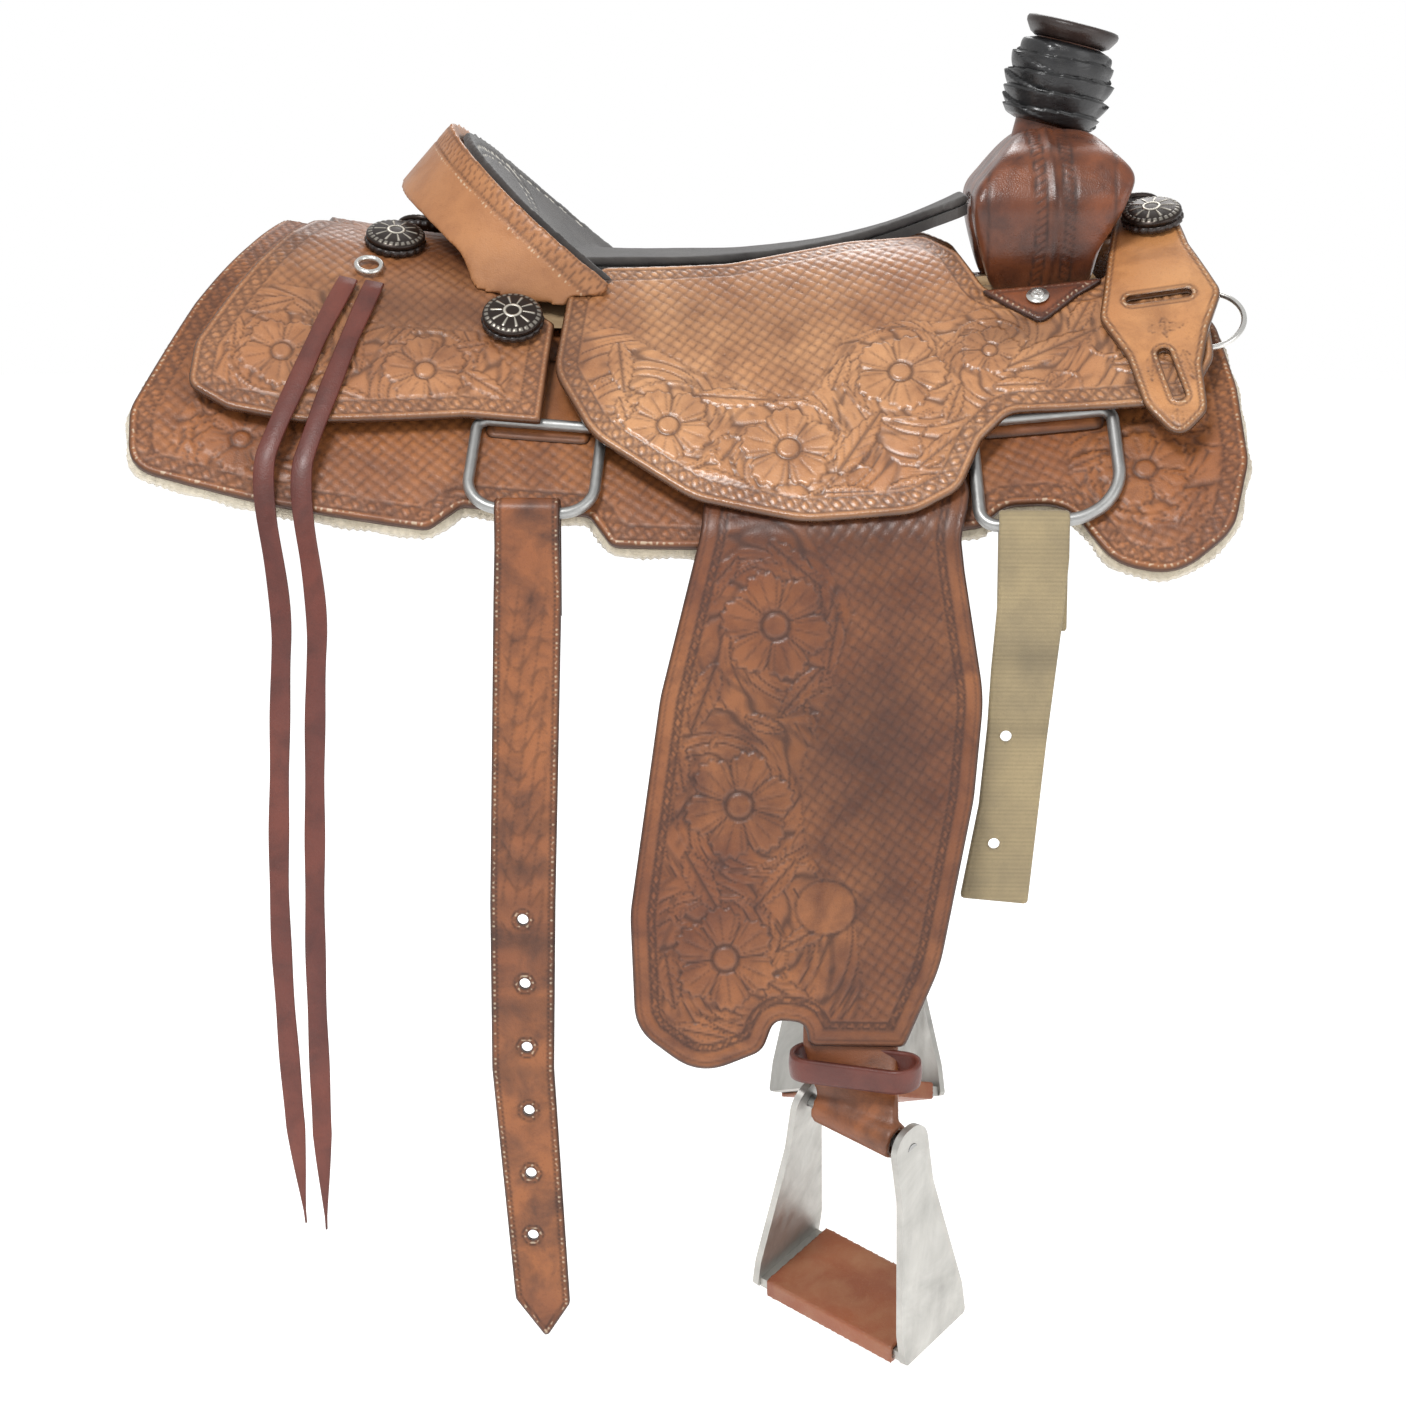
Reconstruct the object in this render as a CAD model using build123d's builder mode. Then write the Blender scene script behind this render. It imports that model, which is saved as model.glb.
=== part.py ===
"""Western roping saddle: tree, leathers, rigging, fenders and stirrups.

+X is forward, +Z is up, and -Y is the saddle's right (off) side. The origin is on the spine,
on the underside of the saddle, below the seat, where the saddle sits on a horse or a rack.
Leathers over the flank are cut from patterns: each pattern point is (station, drop), the
station along X and the drop measured down the flank from the spine.
"""

from build123d import *
from math import cos, radians, sin
import os

os.makedirs("parts", exist_ok=True)

# The horse's back that every leather follows: two arcs across, and one long rocker fore and aft.
RIDGE_SLOPE = 10.0
SHOULDER_SLOPE = 38.0
SKIRT_SLOPE = 58.0
SHOULDER_DROP = 130.0
SKIRT_DROP = 340.0
ROCKER_RADIUS = 2000.0
ROCKER_X = 40.0
UPPER_RADIUS = SHOULDER_DROP / radians(SHOULDER_SLOPE - RIDGE_SLOPE)
LOWER_RADIUS = (SKIRT_DROP - SHOULDER_DROP) / radians(SKIRT_SLOPE - SHOULDER_SLOPE)

# Heights over the back, as (drop, height) where a layer isn't even.
GAP = 0.3
FLEECE_TOP = 10.0 - GAP
SKIRT_BOTTOM = 10.0
SKIRT_TOP = 15.0
FRONT_RIGGING_TOP = 19.0
REAR_RIGGING_TOP = 16.2
ROOT_BOTTOM = 20.2
REAR_JOCKEY = ((-20, 17), (0, 20), (35, 30), (70, 36.5), (110, 37), (150, 34.5), (220, 31), (300, 27))
SIDE_JOCKEY = ((-20, 43), (0, 44), (35, 45), (70, 45), (110, 43), (150, 41.3), (220, 38.2), (300, 34.5))
REAR_JOCKEY_THICK = 4.5
SIDE_JOCKEY_THICK = 5.0
BAR_TOP = ((-20, 32), (60, 28), (100, 26), (160, 23), (260, 18))
CENTRE_GAP = 0.4
REACH = 420.0

# Seat, cantle and fork.
SEAT_LINE = ((-150, 34), (-105, 25), (-50, 23.5), (-5, 24), (40, 27), (107, 38), (160, 55), (197, 71))
SEAT_PAD = 7.0
GROUND_SEAT = 8.0
CANTLE_X, CANTLE_Z = -72.0, 18.0
CANTLE_HALF_WIDTH = 130.0
CANTLE_RISE = 157.0
CANTLE_LEAN = 48.6
CANTLE_PAD_INSET = 13.0
CANTLE_DISH_RADIUS = 400.0
CANTLE_DISH_DEPTH = 18.0
FORK_REAR = 197.0
FORK_HALF_WIDTH = 128.0
COVER_THICK = 3.5
HORN_X, HORN_Z = 252.0, 112.0
HORN_LEAN = 14.0
HORN_NECK_RADIUS = 24.0
HORN_WRAP_RADIUS = 36.0
HORN_CAP_RADIUS = 34.0

# Rigging, fenders and stirrups.
DEE_WIRE = 9.0
STRAP_THICK = 4.5
FENDER_HINGE_Y, FENDER_HINGE_Z = -253.0, -158.0
FENDER_LEAN = 7.5
FENDER_THICK = 4.5
STIRRUP_AT = (119.0, -303.0, -561.0)
STIRRUP_AXIS = Vector(0.80, -0.557, -0.221).normalized()
STIRRUP_UP = Vector(-0.005, -0.378, 0.930).normalized()
STIRRUP_HEIGHT = 163.0
STIRRUP_WIDTH = 128.0
TREAD_DEPTH = 72.0
PLATE_THICK = 5.0
BOLT_RADIUS = 4.8
CONCHO_RADIUS = 21.5


def flank(drop, height):
    """Section point (outward, up) at a drop down the flank and a height square to it."""
    if drop <= SHOULDER_DROP:
        slope = radians(RIDGE_SLOPE) + drop / UPPER_RADIUS
        out = UPPER_RADIUS * (sin(slope) - sin(radians(RIDGE_SLOPE)))
        up = -UPPER_RADIUS * (cos(radians(RIDGE_SLOPE)) - cos(slope))
    else:
        slope = radians(SHOULDER_SLOPE) + (drop - SHOULDER_DROP) / LOWER_RADIUS
        out = UPPER_RADIUS * (sin(radians(SHOULDER_SLOPE)) - sin(radians(RIDGE_SLOPE)))
        out += LOWER_RADIUS * (sin(slope) - sin(radians(SHOULDER_SLOPE)))
        up = -UPPER_RADIUS * (cos(radians(RIDGE_SLOPE)) - cos(radians(SHOULDER_SLOPE)))
        up -= LOWER_RADIUS * (cos(radians(SHOULDER_SLOPE)) - cos(slope))
    return out + height * sin(slope), up + height * cos(slope)


def on_flank(station, drop, height):
    """Point of the right side at a station, drop and height."""
    out, up = flank(drop, height)
    radius = ROCKER_RADIUS - up
    turn = (station - ROCKER_X) / ROCKER_RADIUS
    return Vector(ROCKER_X + radius * sin(turn), -out, ROCKER_RADIUS - radius * cos(turn))


def side_view(station, drop, height):
    """The same point in side view, as (X, Z)."""
    point = on_flank(station, drop, height)
    return point.X, point.Z


def even(height):
    """A layer surface at one height all the way down."""
    return tuple((drop, height) for drop in (-20, 40, 90, 140, 200, 260, 350))


def lifted(surface, amount):
    """A layer surface moved off by an amount."""
    return tuple((drop, height + amount) for drop, height in surface)


ROCKER_SWEEP = 13.0
band_turn = radians(ROCKER_SWEEP)
band_plane = Plane(
    origin=(ROCKER_X, 0, ROCKER_RADIUS),
    x_dir=(0, 1, 0),
    z_dir=(cos(band_turn), 0, -sin(band_turn)),
)
rocker_axis = Axis((ROCKER_X, 0, ROCKER_RADIUS), (0, -1, 0))


def band(low, high):
    """Solid between two layer surfaces of the right flank, all along the saddle."""
    lower = [flank(drop, height) for drop, height in low]
    upper = [flank(drop, height) for drop, height in high]
    lower = [(-out, up - ROCKER_RADIUS) for out, up in lower]
    upper = [(-out, up - ROCKER_RADIUS) for out, up in upper]
    with BuildPart() as ring:
        with BuildSketch(band_plane):
            with BuildLine():
                Spline(*lower)
                Line(lower[-1], upper[-1])
                Spline(*upper)
                Line(upper[0], lower[0])
            make_face()
        revolve(axis=rocker_axis, revolution_arc=2 * ROCKER_SWEEP)
    return ring.part


def cut_leather(pattern, radii, low, high, look_height, grow=0):
    """Leather of the right flank: a pattern of (station, drop) points cut from a band."""
    outline = [side_view(station, drop, look_height) for station, drop in pattern]
    layer = band(low, high)
    with BuildPart() as leather:
        with BuildSketch(Plane.XZ.offset(CENTRE_GAP)):
            with BuildLine():
                FilletPolyline(*outline, radius=radii, close=True)
            make_face()
            if grow:
                offset(amount=grow)
        extrude(amount=REACH)
        add(layer, mode=Mode.INTERSECT)
    return leather.part


def save(shape, label):
    shape.label = label
    export_step(shape, f"parts/{label}.step")


def save_pair(right_shape, label):
    """Save a right side piece and its mirror image on the left."""
    save(right_shape, f"{label}_right")
    save(mirror(right_shape, about=Plane.XZ), f"{label}_left")


# Skirts and their fleece. The gullet stays open between their fronts.
skirt_pattern = [
    (-320, -25), (-337, 60), (-356, 140), (-373, 245), (-362, 290), (-270, 298), (-165, 301),
    (-146, 280), (-63, 280), (-47, 303), (92, 300), (188, 290), (204, 275), (243, 277),
    (268, 326), (306, 340), (345, 312), (362, 262), (365, 200), (361, 140), (342, 92),
    (170, 84), (60, 56), (-110, 50), (-160, -25),
]
skirt_radii = [
    4, 60, 60, 40, 26, 60, 10, 8, 8, 10, 40, 10, 20,
    30, 40, 36, 40, 40, 60, 40, 20, 40, 40, 20, 4,
]
skirt = cut_leather(skirt_pattern, skirt_radii, even(SKIRT_BOTTOM), even(SKIRT_TOP), SKIRT_TOP)
fleece = cut_leather(skirt_pattern, skirt_radii, even(0), even(FLEECE_TOP), SKIRT_TOP)
save_pair(skirt, "skirt")
save_pair(fleece, "fleece")

# Tree bars.
bar_pattern = [
    (-285, 78), (-180, 62), (60, 60), (180, 82), (296, 88),
    (304, 148), (180, 158), (40, 124), (-120, 128), (-290, 150),
]
bar_radii = [16, 20, 20, 20, 16, 16, 20, 20, 20, 16]
bar = cut_leather(bar_pattern, bar_radii, even(SKIRT_TOP + GAP), BAR_TOP, 25)

# Rear jockey over the skirt and bars, behind the cantle.
rear_jockey_pattern = [
    (-283, -25), (-303, 60), (-328, 137), (-342, 190), (-338, 226), (-308, 238), (-258, 239),
    (-150, 218), (-101, 218), (-101, 132), (-122, 118), (-164, 60), (-172, -25),
]
rear_jockey_radii = [4, 40, 60, 24, 14, 18, 40, 40, 2, 4, 20, 30, 4]
rear_jockey = cut_leather(
    rear_jockey_pattern, rear_jockey_radii,
    lifted(REAR_JOCKEY, -REAR_JOCKEY_THICK), REAR_JOCKEY, 34,
)
save_pair(rear_jockey, "back_jockey")

# Side jockey: the seat leather over the bars, with the round drop of its skirt over the fender.
side_jockey_pattern = [
    (-72, 80), (-94, 110), (-96, 180), (-66, 230), (4, 276), (75, 292), (146, 288), (176, 272),
    (192, 236), (212, 216), (330, 224), (352, 190), (356, 120), (336, 76), (306, 78), (286, 112),
    (206, 112), (188, 64), (164, 34), (108, 38), (20, 70),
]
side_jockey_radii = [
    10, 20, 40, 60, 60, 80, 40, 24, 14, 16, 14,
    24, 30, 12, 12, 20, 20, 16, 16, 60, 60,
]
side_jockey = cut_leather(
    side_jockey_pattern, side_jockey_radii,
    lifted(SIDE_JOCKEY, -SIDE_JOCKEY_THICK), SIDE_JOCKEY, 41,
)
side_jockey_room = cut_leather(
    side_jockey_pattern, side_jockey_radii,
    lifted(SIDE_JOCKEY, -SIDE_JOCKEY_THICK - GAP), lifted(SIDE_JOCKEY, GAP), 41, grow=0.5,
)
save_pair(side_jockey, "seat_jockey")


# Seat: the seat line cuts the bars, carries the ground seat and then the padded inlay.
def seat_slab(high, low, half_width):
    """Slab along the seat line, between two depths below it."""
    upper = [(x, z - high) for x, z in SEAT_LINE]
    lower = [(x, z - low) for x, z in SEAT_LINE]
    with BuildPart() as slab:
        with BuildSketch(Plane.XZ.offset(-half_width)):
            with BuildLine():
                Spline(*upper)
                Line(upper[-1], lower[-1])
                Spline(*lower)
                Line(lower[0], upper[0])
            make_face()
        extrude(amount=2 * half_width)
    return slab.part


def both(right_shape):
    """A right side shape with its mirror image."""
    return [right_shape, mirror(right_shape, about=Plane.XZ)]


seat_half_plan = [
    (-150, 98), (-70, 86), (0, 74), (60, 57), (108, 42), (150, 34), (168, 40), (193, 76),
]
seat_plan = seat_half_plan + [(x, -y) for x, y in reversed(seat_half_plan)]
seat_half_radii = [10, 60, 60, 60, 40, 20, 14, 4]
seat_radii = seat_half_radii + seat_half_radii[::-1]
skirt_ceiling = band(even(-60), even(SKIRT_TOP + GAP))
bar_ceiling = band(even(-60), lifted(BAR_TOP, GAP))
rear_jockey_ceiling = band(even(-60), lifted(REAR_JOCKEY, GAP))

with BuildPart() as seat_column:
    with BuildSketch(Plane.XY.offset(-60)):
        with BuildLine():
            FilletPolyline(*seat_plan, radius=seat_radii, close=True)
        make_face()
    extrude(amount=200)

with BuildPart() as right_bar:
    add(bar)
    add(seat_slab(-60, SEAT_PAD + GROUND_SEAT + GAP, 140), mode=Mode.SUBTRACT)

with BuildPart() as ground_seat:
    add(seat_slab(SEAT_PAD + GAP, SEAT_PAD + GROUND_SEAT, 120))
    add(seat_column.part, mode=Mode.INTERSECT)
    for room in both(side_jockey_room) + both(skirt_ceiling):
        add(room, mode=Mode.SUBTRACT)

save_pair(right_bar.part, "tree_bar")

# Cantle: a half ellipse leaning back, with a dished face that the inlay lines.
lean = radians(CANTLE_LEAN)
cantle_plane = Plane(
    origin=(CANTLE_X, 0, CANTLE_Z), x_dir=(0, 1, 0), z_dir=(cos(lean), 0, sin(lean))
)
dish_centre = cantle_plane.from_local_coords((0, 20, CANTLE_DISH_RADIUS - CANTLE_DISH_DEPTH))
cantle_side = [
    (-48, 40), (-192, 126), (-232, 98), (-229, 72), (-200, 50), (-172, 26), (-150, -30), (-60, -30),
]
cantle_side_radii = [4, 10, 18, 24, 40, 30, 4, 4]
CORE_INSET = 19.0
CORE_BACK = 36.0
BINDING_DEPTH = 12.0
CANTLE_FOOT = -15.0


def cantle_slice(inset, front, back):
    """Slice of the half ellipse between two depths behind the rim plane."""
    with BuildPart() as piece:
        with BuildSketch(cantle_plane.offset(-front)):
            Ellipse(CANTLE_HALF_WIDTH - inset, CANTLE_RISE - inset)
            with Locations((0, CANTLE_FOOT - CANTLE_RISE)):
                Rectangle(4 * CANTLE_HALF_WIDTH, 2 * CANTLE_RISE, mode=Mode.SUBTRACT)
        extrude(amount=front - back)
    return piece.part


def dish_ball(extra):
    """Ball whose rear face is the dish of the cantle, larger by an extra."""
    with BuildPart() as ball:
        with Locations(dish_centre):
            Sphere(CANTLE_DISH_RADIUS + extra)
    return ball.part


with BuildPart() as cantle_profile:
    with BuildSketch(Plane.XZ.offset(-1.2 * CANTLE_HALF_WIDTH)):
        with BuildLine():
            FilletPolyline(*cantle_side, radius=cantle_side_radii, close=True)
        make_face()
    extrude(amount=2.4 * CANTLE_HALF_WIDTH)

seat_space = seat_slab(-200, SEAT_PAD + GROUND_SEAT + GAP, 120) & seat_column.part

with BuildPart() as tree_cantle:
    add(cantle_slice(CORE_INSET, 0, CORE_BACK))
    add(dish_ball(SEAT_PAD + GAP), mode=Mode.SUBTRACT)
    add(seat_space, mode=Mode.SUBTRACT)
    for ceiling in both(bar_ceiling) + both(rear_jockey_ceiling) + both(side_jockey_room):
        add(ceiling, mode=Mode.SUBTRACT)

with BuildPart() as cantle_back:
    add(cantle_slice(0, BINDING_DEPTH + GAP, 90))
    add(cantle_profile.part, mode=Mode.INTERSECT)
    add(cantle_slice(CORE_INSET - GAP, -10, CORE_BACK + GAP), mode=Mode.SUBTRACT)
    add(dish_ball(SEAT_PAD + GAP), mode=Mode.SUBTRACT)
    add(seat_space, mode=Mode.SUBTRACT)
    for ceiling in both(rear_jockey_ceiling) + both(side_jockey_room):
        add(ceiling, mode=Mode.SUBTRACT)

with BuildPart() as cantle_binding:
    add(cantle_slice(0, 0, BINDING_DEPTH))
    add(cantle_slice(CANTLE_PAD_INSET, -10, BINDING_DEPTH + 2), mode=Mode.SUBTRACT)
    add(dish_ball(SEAT_PAD + GAP), mode=Mode.SUBTRACT)
    for ceiling in both(rear_jockey_ceiling) + both(side_jockey_room):
        add(ceiling, mode=Mode.SUBTRACT)

with BuildPart() as cantle_pad:
    add(cantle_slice(CANTLE_PAD_INSET + GAP, -10, 30))
    add(dish_ball(SEAT_PAD), mode=Mode.INTERSECT)
    add(dish_ball(0), mode=Mode.SUBTRACT)
    for ceiling in both(rear_jockey_ceiling) + both(side_jockey_room):
        add(ceiling, mode=Mode.SUBTRACT)

with BuildPart() as seat_inlay:
    add(seat_slab(0, SEAT_PAD, 120))
    add(seat_column.part, mode=Mode.INTERSECT)
    add(dish_ball(SEAT_PAD), mode=Mode.INTERSECT)
    for room in both(side_jockey_room):
        add(room, mode=Mode.SUBTRACT)
    add(cantle_pad.part)
    add(seat_slab(SEAT_PAD, 60, 100), mode=Mode.SUBTRACT)

save(ground_seat.part.solids().sort_by(SortBy.VOLUME)[-1], "ground_seat")
save(tree_cantle.part, "tree_cantle")
save(cantle_back.part, "cantle_back")
save(cantle_binding.part, "cantle_binding")
save(seat_inlay.part, "seat_inlay")


# Fork: the swell over the withers, open below as the gullet, under a fitted leather cover.
fork_side = [
    (FORK_REAR, -20), (195, 74), (220, 117), (284, 115), (314, 86), (300, 54), (288, 30), (286, -20),
]
fork_side_radii = [2, 30, 24, 20, 14, 30, 20, 2]
fork_half_front = [(60, 116), (112, 100), (130, 62), (118, 26), (104, 4), (100, -30)]
fork_front = fork_half_front + [(-y, z) for y, z in reversed(fork_half_front)]
fork_half_radii = [30, 30, 26, 30, 10, 2]
fork_front_radii = fork_half_radii + fork_half_radii[::-1]
gullet_half = [(86, -60), (84, 16), (58, 56), (24, 64)]
gullet_outline = gullet_half + [(-y, z) for y, z in reversed(gullet_half)]
gullet_half_radii = [2, 30, 30, 30]
gullet_radii = gullet_half_radii + gullet_half_radii[::-1]


def fork_body(inset):
    """The swell, smaller all round by an inset, before the gullet is cut."""
    with BuildPart() as body:
        with BuildSketch(Plane.XZ.offset(-1.2 * FORK_HALF_WIDTH)):
            with BuildLine():
                FilletPolyline(*fork_side, radius=fork_side_radii, close=True)
            make_face()
            if inset:
                offset(amount=-inset)
        extrude(amount=2.4 * FORK_HALF_WIDTH)
        with BuildSketch(Plane.YZ.offset(FORK_REAR - 20)):
            with BuildLine():
                FilletPolyline(*fork_front, radius=fork_front_radii, close=True)
            make_face()
            if inset:
                offset(amount=-inset)
        extrude(amount=160, mode=Mode.INTERSECT)
    return body.part


with BuildPart() as gullet:
    with BuildSketch(Plane.YZ.offset(FORK_REAR - 30)):
        with BuildLine():
            FilletPolyline(*gullet_outline, radius=gullet_radii, close=True)
        make_face()
    extrude(amount=180)

with BuildPart() as tree_fork:
    add(fork_body(COVER_THICK + GAP))
    add(gullet.part, mode=Mode.SUBTRACT)
    for ceiling in both(bar_ceiling) + both(side_jockey_room):
        add(ceiling, mode=Mode.SUBTRACT)

horn_plane = Plane(
    origin=(HORN_X, 0, HORN_Z), x_dir=(0, 1, 0),
    z_dir=(sin(radians(HORN_LEAN)), 0, cos(radians(HORN_LEAN))),
)
with BuildPart() as horn_hole:
    with BuildSketch(horn_plane.offset(-40)):
        Circle(HORN_NECK_RADIUS + GAP)
    extrude(amount=80)

with BuildPart() as fork_cover:
    add(fork_body(0))
    add(fork_body(COVER_THICK), mode=Mode.SUBTRACT)
    add(gullet.part, mode=Mode.SUBTRACT)
    add(horn_hole.part, mode=Mode.SUBTRACT)
    for ceiling in both(bar_ceiling) + both(side_jockey_room):
        add(ceiling, mode=Mode.SUBTRACT)
    with BuildSketch(Plane.XZ.offset(-1.2 * FORK_HALF_WIDTH)):
        with Locations((240, -30)):
            Rectangle(200, 60)
    extrude(amount=2.4 * FORK_HALF_WIDTH, mode=Mode.SUBTRACT)

# Horn: a steel neck and dished cap, wrapped in rubber for the rope.
with BuildPart() as horn_socket:
    with BuildSketch(horn_plane.offset(-16)):
        Circle(HORN_NECK_RADIUS + GAP)
    extrude(amount=60)

with BuildPart() as tree_horn:
    with BuildSketch(horn_plane.offset(-15)):
        Circle(HORN_NECK_RADIUS)
    extrude(amount=83)

with BuildPart() as fork_with_socket:
    add(tree_fork.part)
    add(horn_socket.part, mode=Mode.SUBTRACT)

with BuildPart() as horn_wrap:
    with BuildSketch(horn_plane.offset(14)):
        Circle(HORN_WRAP_RADIUS)
        Circle(HORN_NECK_RADIUS + GAP, mode=Mode.SUBTRACT)
    extrude(amount=50)
    fillet(horn_wrap.edges().filter_by(GeomType.CIRCLE).group_by(SortBy.RADIUS)[-1], 8)

with BuildPart() as horn_cap:
    with BuildSketch(horn_plane.offset(68 + GAP)):
        Circle(HORN_CAP_RADIUS)
    extrude(amount=12)
    chamfer(horn_cap.faces().sort_by(Axis.Z)[0].edges(), 6)

save(fork_with_socket.part, "tree_fork")
save(fork_cover.part, "fork_cover")
save(tree_horn.part, "tree_horn")
save(horn_wrap.part, "horn_wrap")
save(horn_cap.part, "horn_cap")


# Fork apron: the tab of the cover that laps over the jockey, held by a screw.
apron_pattern = [(200, 114), (214, 124), (240, 144), (268, 124), (288, 114)]
fork_apron = cut_leather(
    apron_pattern, [2, 10, 8, 10, 2],
    lifted(SIDE_JOCKEY, GAP), lifted(SIDE_JOCKEY, GAP + COVER_THICK), 48,
)
save(Compound(children=both(fork_apron)), "fork_apron")


def outward_plane(station, drop, height):
    """Plane square to the flank there, its Y up the flank and its normal outward."""
    here = on_flank(station, drop, height)
    above = on_flank(station, drop - 2, height)
    turn = (station - ROCKER_X) / ROCKER_RADIUS
    forward = Vector(cos(turn), 0, sin(turn))
    return Plane(origin=here, x_dir=forward, z_dir=forward.cross(above - here))


def disc(plane, radius, thick, dome=0):
    """Round plate on a plane, with its outer edge rounded over."""
    with BuildPart() as plate:
        with BuildSketch(plane):
            Circle(radius)
        extrude(amount=thick)
        if dome:
            fillet(plate.edges().sort_by(Axis(plane.origin, plane.z_dir))[-1], dome)
    return plate.part


# Conchos on leather rosettes: over the carrier, at the cantle's corner and over the strings.
concho_places = [(331, 64, 51.5), (-130, 137, 36.6), (-228, 66, 36.5)]
conchos = []
rosettes = []
for station, drop, height in concho_places:
    place = outward_plane(station, drop, height)
    rosettes += both(disc(place.offset(0.5), CONCHO_RADIUS + 1, 5))
    conchos += both(disc(place.offset(5.8), CONCHO_RADIUS, 7, 6))
save(Compound(children=rosettes), "concho_rosettes")
save(Compound(children=conchos), "conchos")

screw_place = outward_plane(240, 124, 43 + COVER_THICK + 2 * GAP)
save(Compound(children=both(disc(screw_place, 8, 3, 2))), "fork_screws")

# Carrier: slotted leather hanger for the breast collar, held flat under the front concho.
carrier_pattern = [
    (292, 88), (350, 92), (366, 140), (352, 170), (342, 200), (340, 236), (318, 256),
    (300, 226), (294, 186), (280, 150), (286, 120),
]
CARRIER_LIFT = 1.2
carrier_low = lifted(SIDE_JOCKEY, CARRIER_LIFT)
carrier_high = lifted(SIDE_JOCKEY, CARRIER_LIFT + STRAP_THICK)
carrier_radii = [14, 16, 14, 20, 20, 12, 10, 20, 20, 14, 12]
carrier_leather = cut_leather(carrier_pattern, carrier_radii, carrier_low, carrier_high, 44)
neck_pattern = [(306, 44), (348, 44), (348, 100), (306, 100)]
neck_leather = cut_leather(neck_pattern, 8, carrier_low, carrier_high, 47)
with BuildPart() as carrier:
    add(carrier_leather)
    add(neck_leather)
    with BuildSketch(outward_plane(323, 138, 20)):
        SlotOverall(46, 8)
    extrude(amount=60, mode=Mode.SUBTRACT)
    with BuildSketch(outward_plane(321, 205, 20)):
        SlotOverall(44, 9, rotation=98)
    extrude(amount=60, mode=Mode.SUBTRACT)
save_pair(carrier.part, "carrier")

# Rigging leathers that hold the dees between the skirt and the jockeys.
front_rigging_pattern = [(188, 150), (278, 150), (274, 222), (192, 222)]
rear_rigging_pattern = [(-140, 150), (-66, 150), (-68, 224), (-138, 224)]


def rigging(pattern, top):
    """Rigging leather on the skirt, up to a height just under the dee's bar."""
    return cut_leather(pattern, 6, even(SKIRT_TOP + GAP), even(top), 18)


save_pair(rigging(front_rigging_pattern, FRONT_RIGGING_TOP), "front_rigging")
save_pair(rigging(rear_rigging_pattern, REAR_RIGGING_TOP), "rear_rigging")


def dee_plane(station, bar_drop, bar_height, low_drop, low_height):
    """Plane of a dee: its bar along X at the origin, and Y from its bow up to its bar."""
    bar_point = on_flank(station, bar_drop, bar_height)
    low_point = on_flank(station, low_drop, low_height)
    turn = (station - ROCKER_X) / ROCKER_RADIUS
    forward = Vector(cos(turn), 0, sin(turn))
    return Plane(origin=bar_point, x_dir=forward, z_dir=forward.cross(bar_point - low_point))


def dee(plane, width, depth, wire, front_radius, rear_radius):
    """Closed D of round wire: a straight bar, and a bow rounded in front and behind."""
    half = (width - wire) / 2
    low = wire - depth
    with BuildPart() as ring:
        with BuildLine(plane):
            FilletPolyline(
                (-half, 0), (half, 0), (half, low), (-half, low),
                radius=[9, 9, front_radius, rear_radius], close=True,
            )
        with BuildSketch(Plane(origin=plane.origin, x_dir=plane.y_dir, z_dir=plane.x_dir)):
            Circle(wire / 2)
        sweep()
    return ring.part


front_dee_plane = dee_plane(233, 212, 24, 298, 21.6)
rear_dee_plane = dee_plane(-102, 213, 20.5, 289, 25)
FRONT_DEE_DEPTH = 95.0
REAR_DEE_DEPTH = 84.0
REAR_DEE_WIRE = 8.0
front_dee = dee(front_dee_plane, 107, FRONT_DEE_DEPTH, DEE_WIRE, 38, 14)
rear_dee = dee(rear_dee_plane, 96, REAR_DEE_DEPTH, REAR_DEE_WIRE, 24, 24)
save_pair(front_dee, "front_dee")
save_pair(rear_dee, "rear_dee")

# Billets, on the right side only: a nylon off billet and a leather flank billet.
LOOP_CLEAR = 0.6


def strap_loop(plane, wire, thick, width, tail):
    """Loop of strap round a dee's bow, with two hanging tails; the plane is the dee's, at the strap."""
    inner = wire / 2 + LOOP_CLEAR
    outer = inner + thick
    side_origin = plane.origin - plane.x_dir * (width / 2)
    side_plane = Plane(origin=side_origin, x_dir=(0, 1, 0), z_dir=plane.x_dir)
    with BuildPart() as loop:
        with BuildSketch(side_plane):
            Circle(outer)
            with Locations((0, -tail / 2)):
                Rectangle(2 * outer, tail)
            Circle(inner, mode=Mode.SUBTRACT)
            with Locations((0, -tail / 2)):
                Rectangle(2 * inner, tail, mode=Mode.SUBTRACT)
        extrude(amount=width)
    return loop.part


def hang_plane(dee_face, along, depth, wire):
    """A dee's plane moved to the middle of the strap on its bow."""
    middle_point = dee_face.from_local_coords((along, wire - depth, 0))
    return Plane(origin=middle_point, x_dir=dee_face.x_dir, z_dir=dee_face.z_dir)


NYLON_THICK = 3.5
OFF_BILLET_WIDTH = 48.0
off_hang = hang_plane(front_dee_plane, -13, FRONT_DEE_DEPTH, DEE_WIRE)
off_face = -off_hang.origin.Y + DEE_WIRE / 2 + LOOP_CLEAR
off_top = off_hang.origin.Z - 24
off_outline = [
    (197, off_top), (243, off_top), (235, -415), (188, -411), (200, -345), (205, -290), (205, -250),
]
off_holes = [(218, -296), (211, -372)]
with BuildPart() as off_billet:
    add(strap_loop(off_hang, DEE_WIRE, NYLON_THICK, OFF_BILLET_WIDTH, 80))
    with BuildSketch(Plane.XZ.offset(off_face)):
        with BuildLine():
            FilletPolyline(*off_outline, radius=[2, 2, 2, 2, 40, 40, 40], close=True)
        make_face()
        with Locations(*off_holes):
            Circle(4, mode=Mode.SUBTRACT)
    extrude(amount=NYLON_THICK)
save(off_billet.part, "off_billet_right")

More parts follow.
